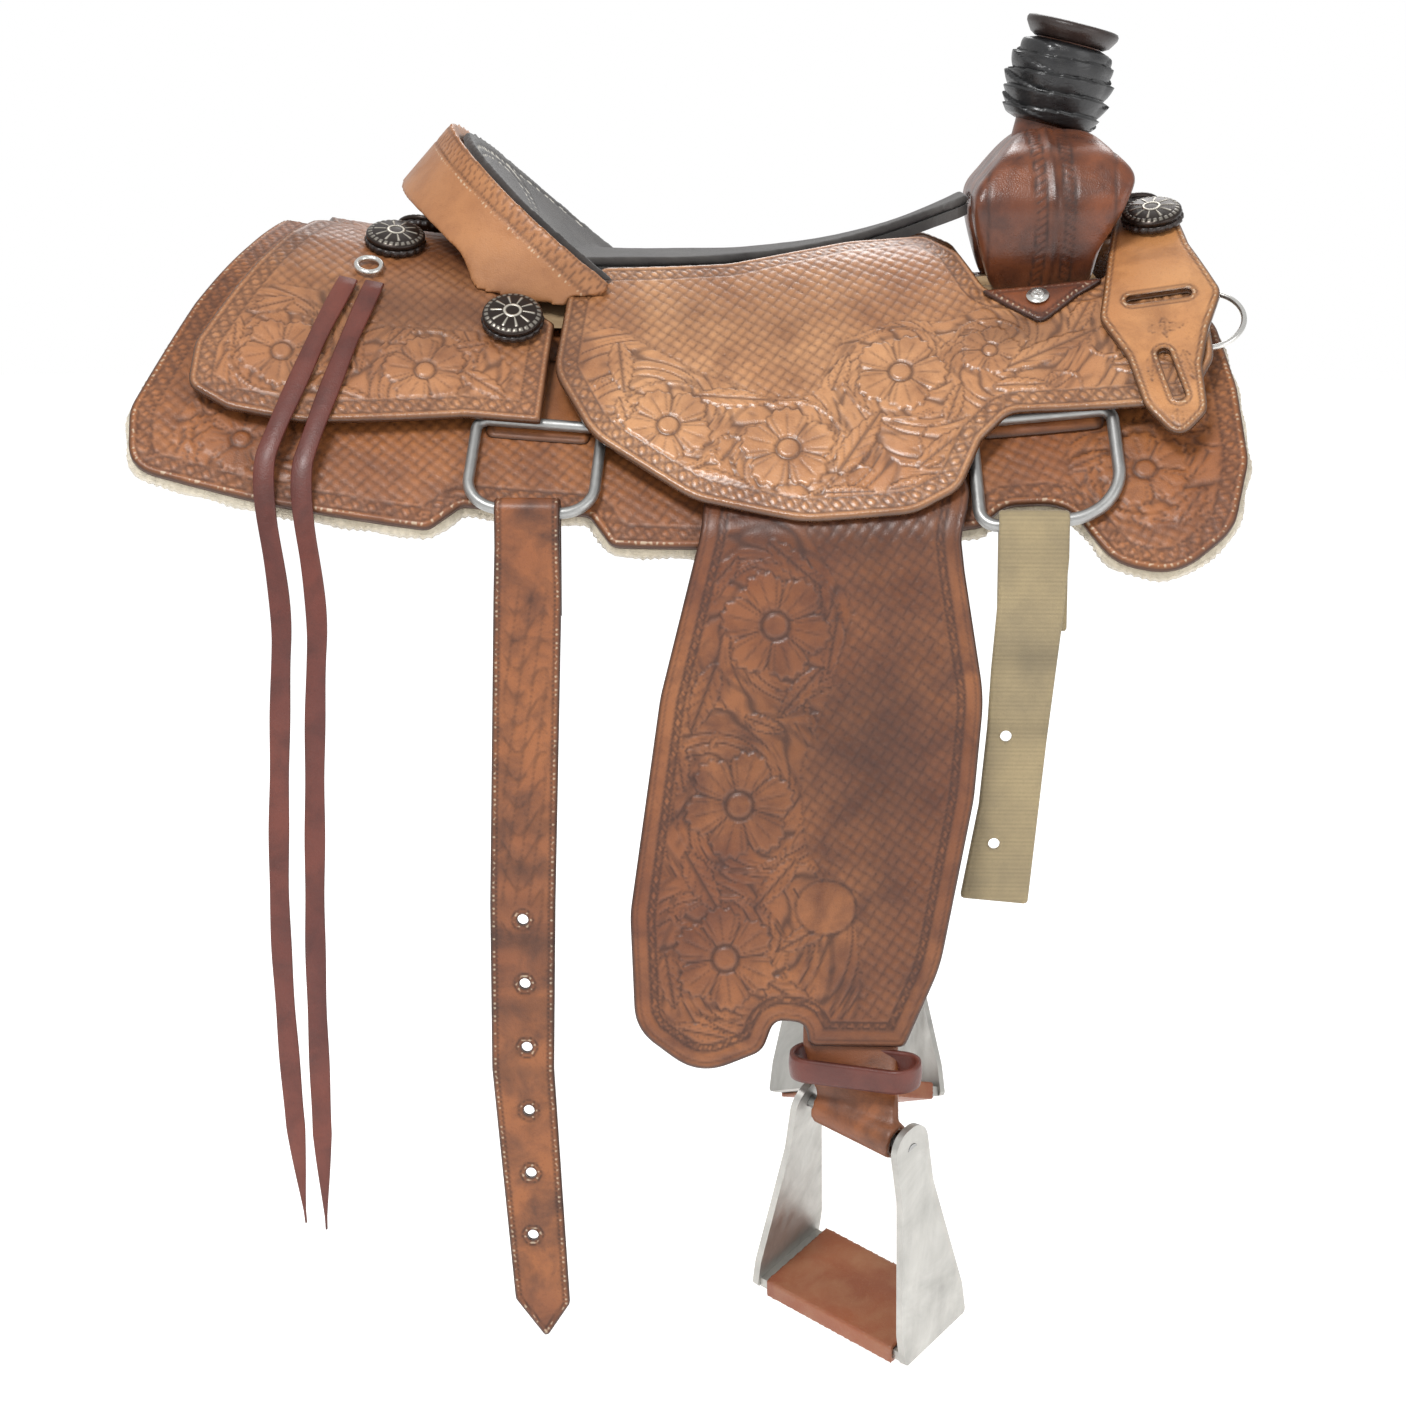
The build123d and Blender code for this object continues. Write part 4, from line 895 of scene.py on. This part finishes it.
def billet(name, bow, end, sides, outline, holes, thick, relief, material, step):
    """Strap from a bow at (y, z) down to end: looped top between two sides, tail as the outline of (x, z)."""
    path = loop_path(*bow, BOW_RADIUS, BACK_TAIL, end)
    surface, run = path_surface(path)
    front = [(x, run[-1] - (z - end)) for x, z in outline]
    left, right = sides
    loop = rounded([(right, 0), (right, front[0][1]), *front[1:], (left, front[0][1]), (left, 0)], 3, 2.0)
    round_holes = [circle(x, run[-1] - (z - end), HOLE_RADIUS, 14) for x, z in holes]
    data = panel([loop, *round_holes], surface, level(thick / 2), thick, relief, step=step, edge=thick * 0.35)
    pair(name, data, material, name, [name], sides=("right",))


def nylon_relief(x, s, distance, along):
    """Ribs across the webbing, a thread row near each edge, and faint smudges."""
    ribs = np.sin(s * 2 * math.pi / 3.2) * 0.16
    rows = bell(distance - 4, 0.9)
    smudge = bell(s - 190, 9) + 0.8 * bell(s - 240, 8) + 0.5 * bell(s - 120, 16)
    # The groove value is painted shade in the rib troughs and real dirt where the smudges are.
    return ribs - 0.25 * rows, {"groove": np.clip(0.25 - ribs + smudge * 0.3, 0, 1), "stitch": rows * 0.2}


billet(
    "off_billet", (-249.4, -148.8), -415, (211, 259),
    [(259, -172), (257, -200), (246, -300), (235, -415), (188, -411), (200, -345), (205, -290), (207, -250),
     (211, -200)],
    [(218, -296), (211, -372)], 3.5, nylon_relief, NYLON, 1.6,
)

WORN_BANDS = ((318, 0.8), (350, 0.9), (374, 0.6), (402, 1.0), (450, 1.0), (498, 0.8))


def flank_relief(x, s, distance, along):
    """A stitched edge, scrollwork on the upper part, and a worn band at each hole."""
    height, fields = plain(x, s, distance, along)
    middle = step_up(distance - 8, 2)
    scroll = np.sin(s * 0.16 + 1.6 * np.sin(x * 0.17)) * np.sin(x * 0.33 + s * 0.05)
    carved = middle * step_up(s - 150, 20) * step_up(400 - s, 20)
    lines = bell(scroll, 0.16) * carved
    bands = sum(share * bell(s - place, 7) for place, share in WORN_BANDS)
    fields["groove"] = np.clip(fields["groove"] + 0.55 * lines, 0, 1)
    fields["stain"] = np.clip(0.5 * bands, 0, 1)
    return height - 0.35 * lines, fields


billet(
    "flank_billet", (-246.5, -143.0), -741, (-135, -90),
    [(-90, -168), (-89, -200), (-95, -420), (-97, -540), (-87, -715), (-104, -741), (-126, -712), (-141, -540),
     (-141, -420), (-136, -200)],
    [(-118 + k, -431 - 46.5 * k) for k in range(6)], 4.5, flank_relief, BILLET_HIDE, 1.8,
)

# ---------------------------------------------------------------- seat, cantle, fork: softened forms


def softened(name, nodes, voxel, rounds, relief=None, shape=None):
    """Piece from CAD nodes with their edges rounded over, reshaped by shape(points) and carved along its
    normals by relief(points, normals).
    """
    verts, faces, first = [], [], 0
    for node in nodes:
        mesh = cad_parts[node].data
        verts += [tuple(v.co) for v in mesh.vertices]
        faces += [tuple(first + i for i in p.vertices) for p in mesh.polygons]
        first += len(mesh.vertices)
    piece = make_mesh(name, verts, faces)
    remesh = piece.modifiers.new("remesh", "REMESH")
    remesh.mode, remesh.voxel_size = "VOXEL", voxel * MM
    smooth = piece.modifiers.new("smooth", "SMOOTH")
    smooth.factor, smooth.iterations = 0.6, rounds
    graph = bpy.context.evaluated_depsgraph_get()
    mesh = bpy.data.meshes.new_from_object(piece.evaluated_get(graph))
    piece.modifiers.clear()
    piece.data = mesh
    if relief:
        count = len(mesh.vertices)
        points, normals = np.zeros(count * 3), np.zeros(count * 3)
        mesh.vertices.foreach_get("co", points)
        mesh.vertices.foreach_get("normal", normals)
        points, normals = points.reshape(-1, 3), normals.reshape(-1, 3)
        if shape:
            points = shape(points / MM) * MM
        height, fields = relief(points / MM, normals)
        mesh.vertices.foreach_set("co", (points + normals * height[:, None] * MM).ravel())
        add_fields(mesh, fields)
    mesh.shade_smooth()
    return piece


def dress(piece, material, body, nodes):
    """Material, body and the CAD nodes that a piece stands for."""
    piece.data.materials.clear()
    piece.data.materials.append(material)
    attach(piece, body)
    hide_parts(*nodes)


CANTLE = np.array([-72.0, 0.0, 18.0])
CANTLE_LEAN = math.radians(48.6)
CANTLE_HALF_WIDTH, CANTLE_HEIGHT = 130, 157
CANTLE_OUT = np.array([math.cos(CANTLE_LEAN), 0, math.sin(CANTLE_LEAN)])
CANTLE_UP = np.array([-math.sin(CANTLE_LEAN), 0, math.cos(CANTLE_LEAN)])


def cantle_frame(points):
    """Sideways and upward places in the cantle's rim plane, depth behind it, and the ellipse ratio."""
    rel = points - CANTLE
    side, up, depth = rel[:, 1], rel @ CANTLE_UP, -(rel @ CANTLE_OUT)
    return side, up, depth, np.hypot(side / CANTLE_HALF_WIDTH, up / CANTLE_HEIGHT)


def seat_relief(points, normals):
    """Suede with a seam round its edge, and a quilted oval in the dish."""
    side, up, _, ratio = cantle_frame(points)
    x, y = points[:, 0], points[:, 1]
    dish = (up > 35) & (normals @ CANTLE_OUT > 0)
    edge = np.abs(ratio - 0.83) * 140
    oval = np.abs(np.hypot(side / 62, (up - 96) / 34) - 1) * 45
    inner = np.abs(np.hypot(side / 54, (up - 96) / 27) - 1) * 40
    lines = np.where(dish, bell(edge, 1.3) + bell(oval, 1.3) + bell(inner, 1.3), 0)
    half_width = np.interp(x, [-150, -70, 0, 60, 108, 150, 168, 193], [92, 79, 67, 50, 35, 27, 33, 66])
    along_edge = np.where((x > -60) & (normals[:, 2] > 0.3), bell(np.abs(y) - half_width + 3, 1.3), 0)
    seam = np.clip(lines + along_edge, 0, 1)
    dashes = step_up(np.sin((x + y * 0.8 + points[:, 2]) * 2 * math.pi / 5.5) + 0.2, 0.5)
    swell = 0.25 * np.sin(x * 0.08) * np.sin(y * 0.07)
    # The seams' groove value is painted shade.
    return swell - 0.9 * seam, {"groove": seam * 0.4, "stitch": seam * dashes}


inlay = softened("seat_inlay_pad", ["seat_inlay"], 2.6, 7, seat_relief)
dress(inlay, SUEDE, "saddle", ["seat_inlay"])


def roll_relief(points, normals):
    """Cantle roll: a tooled strip between two lines near its front edge, with stitches beside it."""
    side, up, depth, ratio = cantle_frame(points)
    facing = normals @ CANTLE_OUT
    around = np.degrees(np.arctan2(side / CANTLE_HALF_WIDTH, up / CANTLE_HEIGHT)) * 2.4
    strip = (facing < 0.75) & (ratio > 0.9)
    lines = np.where(strip, bell(depth - 6, 1.0) + bell(depth - 20, 1.0), 0)
    bar = step_up(depth - 7.5, 1.5) * step_up(18.5 - depth, 1.5) * strip
    weave_marks = np.abs(np.sin(around * math.pi / 7 + np.where(depth > 13, 1.57, 0)))
    tool = bar * step_up(0.35 - weave_marks, 0.3)
    stitch = strip * stitches(depth, around, 23, 0.9)
    front = (facing > 0.6) & (ratio > 0.88)
    stitch = stitch + front * bell((1 - ratio) * 140 - 11, 1.0) * step_up(np.sin(around * 2.7) + 0.3, 0.5)
    groove = np.clip(lines + 0.8 * tool, 0, 1)
    # Painted shade: the roll is darkened towards its bottom, where it meets the seat and jockeys.
    low = step_up(30 - points[:, 2], 30)
    return -0.6 * groove, {"groove": np.clip(groove + 0.25 * low, 0, 1), "stitch": stitch}


roll = softened("cantle_roll", ["cantle_back", "cantle_binding"], 2.2, 6, roll_relief)
dress(roll, ROLL, "saddle", ["cantle_back", "cantle_binding"])


def fork_relief(points, normals):
    """Swell cover: a raised seam over its middle, a stamped band on each side of it, and creased edges."""
    x, y, z = points.T
    girth = np.abs(y)
    seam_x = 250 + 4 * np.sin(z * 0.03)
    facing = np.abs(normals[:, 0]) < 0.8
    ridge = bell(x - seam_x, 1.6) * facing
    band_place = np.abs(x - seam_x)
    band = step_up(band_place - 6, 1.5) * step_up(14 - band_place, 1.5) * facing
    marks = np.abs(np.sin(np.arctan2(z - 60, girth) * 64 + band_place * 0.35))
    stamp = band * step_up(0.4 - marks, 0.3)
    lines = facing * (bell(band_place - 6, 0.8) + bell(band_place - 14, 0.8))
    rear = bell(x - 206, 1.2) + bell(x - 296, 1.2)
    groove = np.clip(lines + 0.8 * stamp + 0.8 * rear * facing, 0, 1)
    stain = step_up(18 - girth, 22) * step_up(z - 80, 12) * 0.5
    dark = stain + 0.5 * blot(x, z, 225, 40, 40, 50) + 0.6 * blot(x, z, 262, 60, 14, 60) + 0.6 * ridge
    return 1.3 * ridge - 0.7 * groove, {"groove": groove, "stain": np.clip(dark, 0, 0.9)}


SWELL_MIDDLE, SWELL_HALF, SWELL_WAIST, SWELL_RISE = 254.5, 60.0, 60.0, 57.0


def domed(points):
    """The swell's corners drawn in to a dome, as seen from the side, and its waist narrowed."""
    x, y, z = points.T
    across = np.clip((x - SWELL_MIDDLE) / SWELL_HALF, -1, 1)
    rise = np.clip((z - SWELL_WAIST) / SWELL_RISE, 0, 1)
    fall = np.clip((SWELL_WAIST - z) / SWELL_WAIST, 0, 1)
    narrow = np.sqrt(1 - np.where(across < 0, 0.42, 0.12) * rise**2) * (1 - 0.22 * fall**1.5)
    lower = 1 - np.where(across < 0, 0.16, 0.1) * across**2 * np.clip(rise * 2, 0, 1)
    x = x + SWELL_HALF * across * (narrow - 1)
    z = np.where(z > SWELL_WAIST, SWELL_WAIST + (z - SWELL_WAIST) * lower, z)
    return np.stack([x, y, z], -1)


cover = softened("fork_cover_hide", ["fork_cover", "tree_fork"], 2.2, 40, fork_relief, domed)
dress(cover, FORK_HIDE, "saddle", ["fork_cover", "tree_fork"])

APRON = rounded([(200, 112), (214, 124), (240, 146), (268, 124), (290, 112)], [2, 10, 8, 10, 2], 1.8)
APRON_LIFT, APRON_THICK = 3.8, 3.5
apron = panel([APRON], flank, above(SIDE_TOP, APRON_LIFT), APRON_THICK, plain, step=1.8, edge=1.5)
aprons = pair("fork_apron_hide", apron, FORK_HIDE, "saddle", None)
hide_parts("fork_apron")

for side in SIDES:
    for node, body, voxel, look in (
        ("stirrup_leather", "fender", 2.0, BILLET_HIDE), ("tread_cover", "stirrup", 1.3, TREAD_HIDE),
    ):
        piece = softened(f"{node}_hide_{side}", [f"{node}_{side}"], voxel, 3)
        dress(piece, look, f"{body}_{side}", [f"{node}_{side}"])

# Hobble strap, drawn close round the stirrup leather: a loop of two straights and two bends.
HOBBLE = np.array([116.0, -301.0, -530.0])
HOBBLE_FORE = np.array([0.93, -0.34, -0.1]) / np.linalg.norm([0.93, -0.34, -0.1])
HOBBLE_UP = np.array([0, -0.2, 1]) / np.linalg.norm([0, -0.2, 1])
HOBBLE_OUT = np.cross(HOBBLE_FORE, HOBBLE_UP)
HOBBLE_HALF, HOBBLE_RADIUS, HOBBLE_WIDTH, HOBBLE_THICK = 31.0, 13.0, 17.0, 3.2
HOBBLE_STEPS, HOBBLE_ROWS = 120, 9


def hobble_surface(run, rise, height):
    """run goes round the strap's long loop, rise across its width."""
    half, radius = HOBBLE_HALF, HOBBLE_RADIUS
    straight, bend = 2 * half, math.pi * radius
    t = run % (2 * (straight + bend))
    first, second = t < straight, (t >= straight) & (t < straight + bend)
    third = (t >= straight + bend) & (t < 2 * straight + bend)
    first_turn, second_turn = (t - straight) / radius, (t - 2 * straight - bend) / radius + math.pi
    angle = np.where(second, first_turn, second_turn) - math.pi / 2
    curved_x = np.where(second, half, -half) + (radius + height) * np.cos(angle)
    curved_y = (radius + height) * np.sin(angle)
    along_x = np.where(first, -half + t, half - (t - straight - bend))
    flat_y = np.where(first, -(radius + height), radius + height)
    x, y = np.where(first | third, along_x, curved_x), np.where(first | third, flat_y, curved_y)
    tilt = rise + 0.10 * x
    return (HOBBLE + x[:, None] * HOBBLE_FORE - y[:, None] * HOBBLE_OUT + tilt[:, None] * HOBBLE_UP) * MM


def hobble_band():
    """Closed band: a crowned outside, a flat inside, and its two edges."""
    length = 4 * HOBBLE_HALF + 2 * math.pi * HOBBLE_RADIUS
    turns, shares = np.linspace(0, length, HOBBLE_STEPS, endpoint=False), np.linspace(0, 1, HOBBLE_ROWS)
    around, across = (grid.ravel() for grid in np.meshgrid(turns, shares, indexing="ij"))
    rise = 1 + HOBBLE_WIDTH * across
    outside = hobble_surface(around, rise, HOBBLE_THICK + 0.8 * np.sin(math.pi * across))
    inside = hobble_surface(around, rise, np.zeros(around.size))

    def at(i, j, layer):
        return layer * around.size + (i % HOBBLE_STEPS) * HOBBLE_ROWS + j

    faces, last = [], HOBBLE_ROWS - 1
    for i in range(HOBBLE_STEPS):
        for j in range(last):
            faces.append((at(i, j, 0), at(i + 1, j, 0), at(i + 1, j + 1, 0), at(i, j + 1, 0)))
            faces.append((at(i, j, 1), at(i, j + 1, 1), at(i + 1, j + 1, 1), at(i + 1, j, 1)))
        faces.append((at(i, 0, 0), at(i, 0, 1), at(i + 1, 0, 1), at(i + 1, 0, 0)))
        faces.append((at(i, last, 0), at(i + 1, last, 0), at(i + 1, last, 1), at(i, last, 1)))
    return np.concatenate([outside, inside]), faces


pair("hobble_strap_band", hobble_band(), LATIGO, "fender", ["hobble_strap"])

# ---------------------------------------------------------------- horn

HORN = np.array([252.0, 0.0, 112.0])
HORN_LEAN = math.radians(14)
HORN_AXIS = np.array([math.sin(HORN_LEAN), 0, math.cos(HORN_LEAN)])
HORN_FORE = np.array([math.cos(HORN_LEAN), 0, -math.sin(HORN_LEAN)])


def turned(profile, count, origin, axis, fore, shape=None):
    """Closed surface of revolution from (radius, height) points, moved by shape(radius, height, angle)."""
    side = np.cross(axis, fore)
    angle = np.arange(count) * 2 * math.pi / count
    radius, height = (np.array(v, float)[:, None] + 0 * angle for v in zip(*profile))
    angles = angle[None, :] + 0 * radius
    fields = {}
    if shape:
        radius, height, fields = shape(radius, height, angles)
    points = (
        origin + radius[..., None] * (np.cos(angles)[..., None] * fore + np.sin(angles)[..., None] * side)
        + height[..., None] * axis
    ) * MM
    rows = len(profile)
    faces = [
        (r * count + i, r * count + (i + 1) % count, (r + 1) * count + (i + 1) % count, (r + 1) * count + i)
        for r in range(rows - 1) for i in range(count)
    ]
    faces += [tuple(range(count))[::-1], tuple((rows - 1) * count + i for i in range(count))]
    return points.reshape(-1, 3), faces, {key: values.ravel() for key, values in fields.items()}


WRAP_LOW, WRAP_TALL, WRAP_STEPS = 8, 57, 60
TURN_PITCH, FOLD_PITCH = 13, 17


def wrap_shape(radius, height, angle):
    """Flat rubber wound in slanting turns, each lapping over the last one, with folds across them."""
    lap = (height - 5 * np.cos(angle)) / TURN_PITCH + angle / (2 * math.pi)
    lap = lap - np.floor(lap)
    fold = (height + 9 * np.cos(angle + 1.1)) / FOLD_PITCH
    fold = fold - np.floor(fold)
    bulge = 4.4 * lap**0.6 - 0.4 + 3.6 * fold**0.7 * step_up(np.sin(angle * 2 + 0.6), 0.8)
    middle = np.sin(math.pi * np.clip((height - WRAP_LOW) / WRAP_TALL, 0, 1)) ** 0.35
    # The groove marks the lap lines, which the rubber paints dark as shade.
    groove = bell(lap, 0.05) + bell(1 - lap, 0.04)
    return radius + bulge * middle, height, {"groove": np.clip(groove, 0, 1) * 0.8}


wrap_shares = [k / WRAP_STEPS for k in range(WRAP_STEPS + 1)]
wrap_sides = [(31 + 3.5 * math.sin(math.pi * share), WRAP_LOW + WRAP_TALL * share) for share in wrap_shares]
wrap = turned([(25, 6), *wrap_sides, (25, 67)], 160, HORN, HORN_AXIS, HORN_FORE, wrap_shape)
dress(make_mesh("horn_wrap_rubber", *wrap), RUBBER, "saddle", ["horn_wrap"])
cap_profile = [
    (10, 67.5), (26, 67.7), (30, 70), (33, 74.5), (34.5, 77), (34.8, 79.5), (33.8, 81.5), (31.5, 82.2),
    (29.5, 81.4), (27, 80.6), (14, 80.2), (1, 80.1),
]
cap = turned(cap_profile, 72, HORN, HORN_AXIS, HORN_FORE)
dress(make_mesh("horn_cap_hide", *cap), DARK_HIDE, "saddle", ["horn_cap"])

# ---------------------------------------------------------------- conchos and screws


def engraved():
    """Dark plated dome with bright raised strokes."""
    n = Nodes("engraved")
    bright = n.attribute("bright")
    colour = n.mix(bright, (0.035, 0.026, 0.022), (0.62, 0.58, 0.50))
    rough = n.ramp(n.noise(80), 0.3, 0.7, 0.25, 0.45)
    return n.done(colour, rough, n.bump(n.noise(300), 0.0002, 0.4), Metallic=0.75)


ENGRAVED = engraved()


def outward(station, drop, height):
    """Origin, outward axis and forward direction of a fitting on the flank, in millimetres."""
    here = flank(np.array([station]), np.array([drop]), np.array([height]))[0] / MM
    higher = flank(np.array([station]), np.array([drop - 2.0]), np.array([height]))[0] / MM
    turn = (station - ROCKER_X) / ROCKER
    fore = np.array([math.cos(turn), 0, math.sin(turn)])
    axis = np.cross(fore, higher - here)
    return here, axis / np.linalg.norm(axis), fore


CONCHO_RADIUS, DOME_RADIUS, DOME_HEIGHT = 21.5, 21.6, 4.2


def concho_shape(radius, height, angle):
    """Ten rays and a ring of beads on the dome: a plain generic star."""
    share = radius / CONCHO_RADIUS
    ray = step_up(0.22 - np.abs(np.sin(angle * 5)), 0.12)
    ray = ray * step_up(share - 0.34, 0.05) * step_up(0.74 - share, 0.05)
    beads = step_up(np.cos(angle * 28) - 0.1, 0.5) * step_up(0.06 - np.abs(share - 0.88), 0.03)
    hub = step_up(0.04 - np.abs(share - 0.27), 0.03)
    bright = np.clip(ray + hub + 0.4 * beads, 0, 1)
    return radius, height + 0.5 * (ray + hub) + 0.4 * beads, {"bright": bright}


def rosette_shape(radius, height, angle):
    """Leather disc with a scalloped edge."""
    scallop = 1.2 * np.abs(np.sin(angle * 10)) * (radius > 18)
    cut = step_up(0.25 - np.abs(np.sin(angle * 10)), 0.2) * step_up(radius - 17, 2)
    return radius + scallop - 0.6, height, {"groove": np.clip(cut, 0, 1)}


def screw_shape(radius, height, angle):
    """Washer and pan head with a cross recess."""
    x, y = radius * np.cos(angle), radius * np.sin(angle)
    cross = ((np.abs(x) < 0.7) | (np.abs(y) < 0.7)) & (radius < 2.6)
    return radius, height - 1.2 * cross, {}


dome_radii = np.linspace(CONCHO_RADIUS, 0.2, 46)
dome = [(r, 2.6 + DOME_HEIGHT * math.sqrt(1 - (r / DOME_RADIUS) ** 2)) for r in dome_radii]
concho_profile = [(19, 0), (CONCHO_RADIUS, 0.2), (CONCHO_RADIUS, 2.4), *dome]
rosette_profile = [(16, 0), (21, 0.2), (22, 1.2), (22, 4.2), (21, 5), (10, 5)]
screw_rim = [(3, 0.2), (8, 0.2), (8.2, 0.8), (7.8, 1.4), (5, 1.5), (4.9, 2.6), (4.3, 3.4)]
screw_profile = screw_rim + [(r, 3.6) for r in np.linspace(3.6, 0.1, 18)]


def fitting(name, place, lift, profile, count, look, shape, slot):
    """Round fitting on each side's flank at a (station, drop, height), lifted along its own axis."""
    origin, axis, fore = outward(*place)
    data = turned(profile, count, origin + axis * lift, axis, fore, shape)
    for piece in pair(name, data, look, "saddle", None):
        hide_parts(slot)


for name, place in {"front": (331, 64, 51.5), "cantle": (-130, 137, 36.6), "rear": (-228, 66, 36.5)}.items():
    fitting(f"rosette_{name}", place, 0.5, rosette_profile, 120, DARK_HIDE, rosette_shape, "concho_rosettes")
    fitting(f"concho_{name}", place, 5.8, concho_profile, 140, ENGRAVED, concho_shape, "conchos")
fitting("fork_screw", (240, 124, 47.1), 0, screw_profile, 72, CHROME, screw_shape, "fork_screws")

# ---------------------------------------------------------------- saddle strings

ROUTES = {
    "rear_string": (
        [(-251, 118, 41), (-259, 160, 39), (-265, 205, 36), (-272, 248, 33), (-277, 285, 28.5)],
        [(-282, -258, -210), (-285, -258, -262), (-287, -257, -320), (-289, -258, -378), (-289, -260, -436),
         (-287, -259, -494), (-284, -258, -552), (-280, -259, -606), (-276, -257, -656)],
    ),
    "front_string": (
        [(-232, 118, 41), (-238, 160, 39), (-243, 205, 36), (-248, 248, 33), (-252, 285, 28.5)],
        [(-257, -259, -210), (-260, -260, -262), (-262, -259, -320), (-263, -260, -378), (-264, -262, -436),
         (-264, -261, -494), (-263, -260, -552), (-262, -261, -606), (-261, -259, -660)],
    ),
}
STRING_WIDTH, STRING_THICK, STRING_LENGTH = 14.0, 3.0, 0.718


def spline_points(route):
    """Points read from a route's own NURBS spline."""
    curve = bpy.data.curves.new("route", "CURVE")
    curve.dimensions = "3D"
    curve.resolution_u = 10
    spline = curve.splines.new("NURBS")
    spline.points.add(len(route) - 1)
    for point, place in zip(spline.points, route):
        point.co = (*place, 1)
    spline.order_u = 3
    spline.use_endpoint_u = True
    holder = bpy.data.objects.new("route", curve)
    scene.collection.objects.link(holder)
    bpy.context.view_layer.update()
    mesh = bpy.data.meshes.new_from_object(holder.evaluated_get(bpy.context.evaluated_depsgraph_get()))
    points = np.array([v.co for v in mesh.vertices])
    bpy.data.objects.remove(holder)
    return points


def thong(name, points):
    """Flat lace along points: rounded edges and a tip cut to a point."""
    tangent = np.gradient(points, axis=0)
    tangent /= np.linalg.norm(tangent, axis=1)[:, None]
    run = np.r_[0, np.cumsum(np.linalg.norm(np.diff(points, axis=0), axis=1))]
    share = run / run[-1]
    out = np.cross(tangent, np.cross(np.array([0, -0.8, 0.6]), tangent))
    out /= np.linalg.norm(out, axis=1)[:, None]
    wide = np.cross(out, tangent)
    lower = [(-0.5, -0.3), (-0.44, -0.5), (0, -0.5), (0.44, -0.5), (0.5, -0.3)]
    section = lower + [(-u, -v) for u, v in lower]
    taper = np.clip((1 - share) / 0.10, 0.10, 1)
    wave = 1 + 0.04 * np.sin(share * 55)
    verts = [
        points[i] + wide[i] * u * STRING_WIDTH * MM * taper[i] * wave[i] + out[i] * v * STRING_THICK * MM
        for i in range(len(points)) for u, v in section
    ]
    k = len(section)
    faces = [
        (i * k + j, i * k + (j + 1) % k, (i + 1) * k + (j + 1) % k, (i + 1) * k + j)
        for i in range(len(points) - 1) for j in range(k)
    ]
    faces += [tuple(range(k))[::-1], tuple((len(points) - 1) * k + j for j in range(k))]
    return make_mesh(name, verts, faces)


for name, (over, down) in ROUTES.items():
    over = [tuple(flank(*(np.array([float(v)]) for v in p))[0]) for p in over]
    route = over + [tuple(v * MM for v in p) for p in down]
    points = spline_points(route)
    string = thong(f"{name}_lace", points)
    dress(string, LATIGO, "saddle", [f"{name}_right"])


# ---------------------------------------------------------------- studio

FLOOR_Z, FLOOR_HALF = -0.80, 9
floor_mesh = bpy.data.meshes.new("floor")
corners = [(x * FLOOR_HALF, y * FLOOR_HALF, FLOOR_Z) for x, y in ((-1, -1), (1, -1), (1, 1), (-1, 1))]
floor_mesh.from_pydata(corners, [], [(0, 1, 2, 3)])
floor = bpy.data.objects.new("floor", floor_mesh)
scene.collection.objects.link(floor)
pale = bpy.data.materials.new("pale_floor")
pale.use_nodes = True
for socket, value in {
    "Base Color": (0.93, 0.93, 0.93, 1), "Roughness": 0.9,
    "Emission Color": (1, 1, 1, 1), "Emission Strength": 0.45,
}.items():
    pale.node_tree.nodes["Principled BSDF"].inputs[socket].default_value = value
floor_mesh.materials.append(pale)

# A white backdrop that lights the saddle a little less than it shows.
world = bpy.data.worlds.new("studio")
world.use_nodes = True
backdrop = world.node_tree.nodes["Background"]
backdrop.inputs["Color"].default_value = (1.0, 1.0, 1.0, 1)
lighting = world.node_tree.nodes.new("ShaderNodeLightPath")
strength = world.node_tree.nodes.new("ShaderNodeMapRange")
strength.inputs["To Min"].default_value, strength.inputs["To Max"].default_value = 0.7, 1.0
world.node_tree.links.new(lighting.outputs["Is Camera Ray"], strength.inputs["Value"])
world.node_tree.links.new(strength.outputs["Result"], backdrop.inputs["Strength"])
scene.world = world


def area_light(name, place, target, size, power):
    """Square soft light at a place, turned to a target."""
    light = bpy.data.lights.new(name, "AREA")
    light.size, light.energy = size, power
    lamp = bpy.data.objects.new(name, light)
    lamp.location = place
    lamp.rotation_euler = (Vector(target) - Vector(place)).to_track_quat("-Z", "Y").to_euler()
    scene.collection.objects.link(lamp)


area_light("key", (-0.7, -2.2, 2.1), (0.05, -0.15, -0.05), 0.8, 60)
area_light("fill", (2.2, -1.9, 0.6), (0.1, -0.2, -0.3), 1.6, 16)
area_light("rim", (0.4, 2.4, 2.0), (0.0, 0.0, 0.0), 1.6, 30)

camera_data = bpy.data.cameras.new("camera")
camera_data.sensor_width, camera_data.lens = 36.0, 80.81
camera_data.clip_end = 60
camera = bpy.data.objects.new("camera", camera_data)
camera.location = (0.110, -2.400, 0.123)
YAW, PITCH = math.radians(2.7), math.radians(10.5)
look = Vector((-math.sin(YAW) * math.cos(PITCH), math.cos(YAW) * math.cos(PITCH), -math.sin(PITCH)))
camera.rotation_mode = "QUATERNION"
camera.rotation_quaternion = look.to_track_quat("-Z", "Y")
scene.collection.objects.link(camera)
scene.camera = camera
scene.view_settings.view_transform = "Standard"
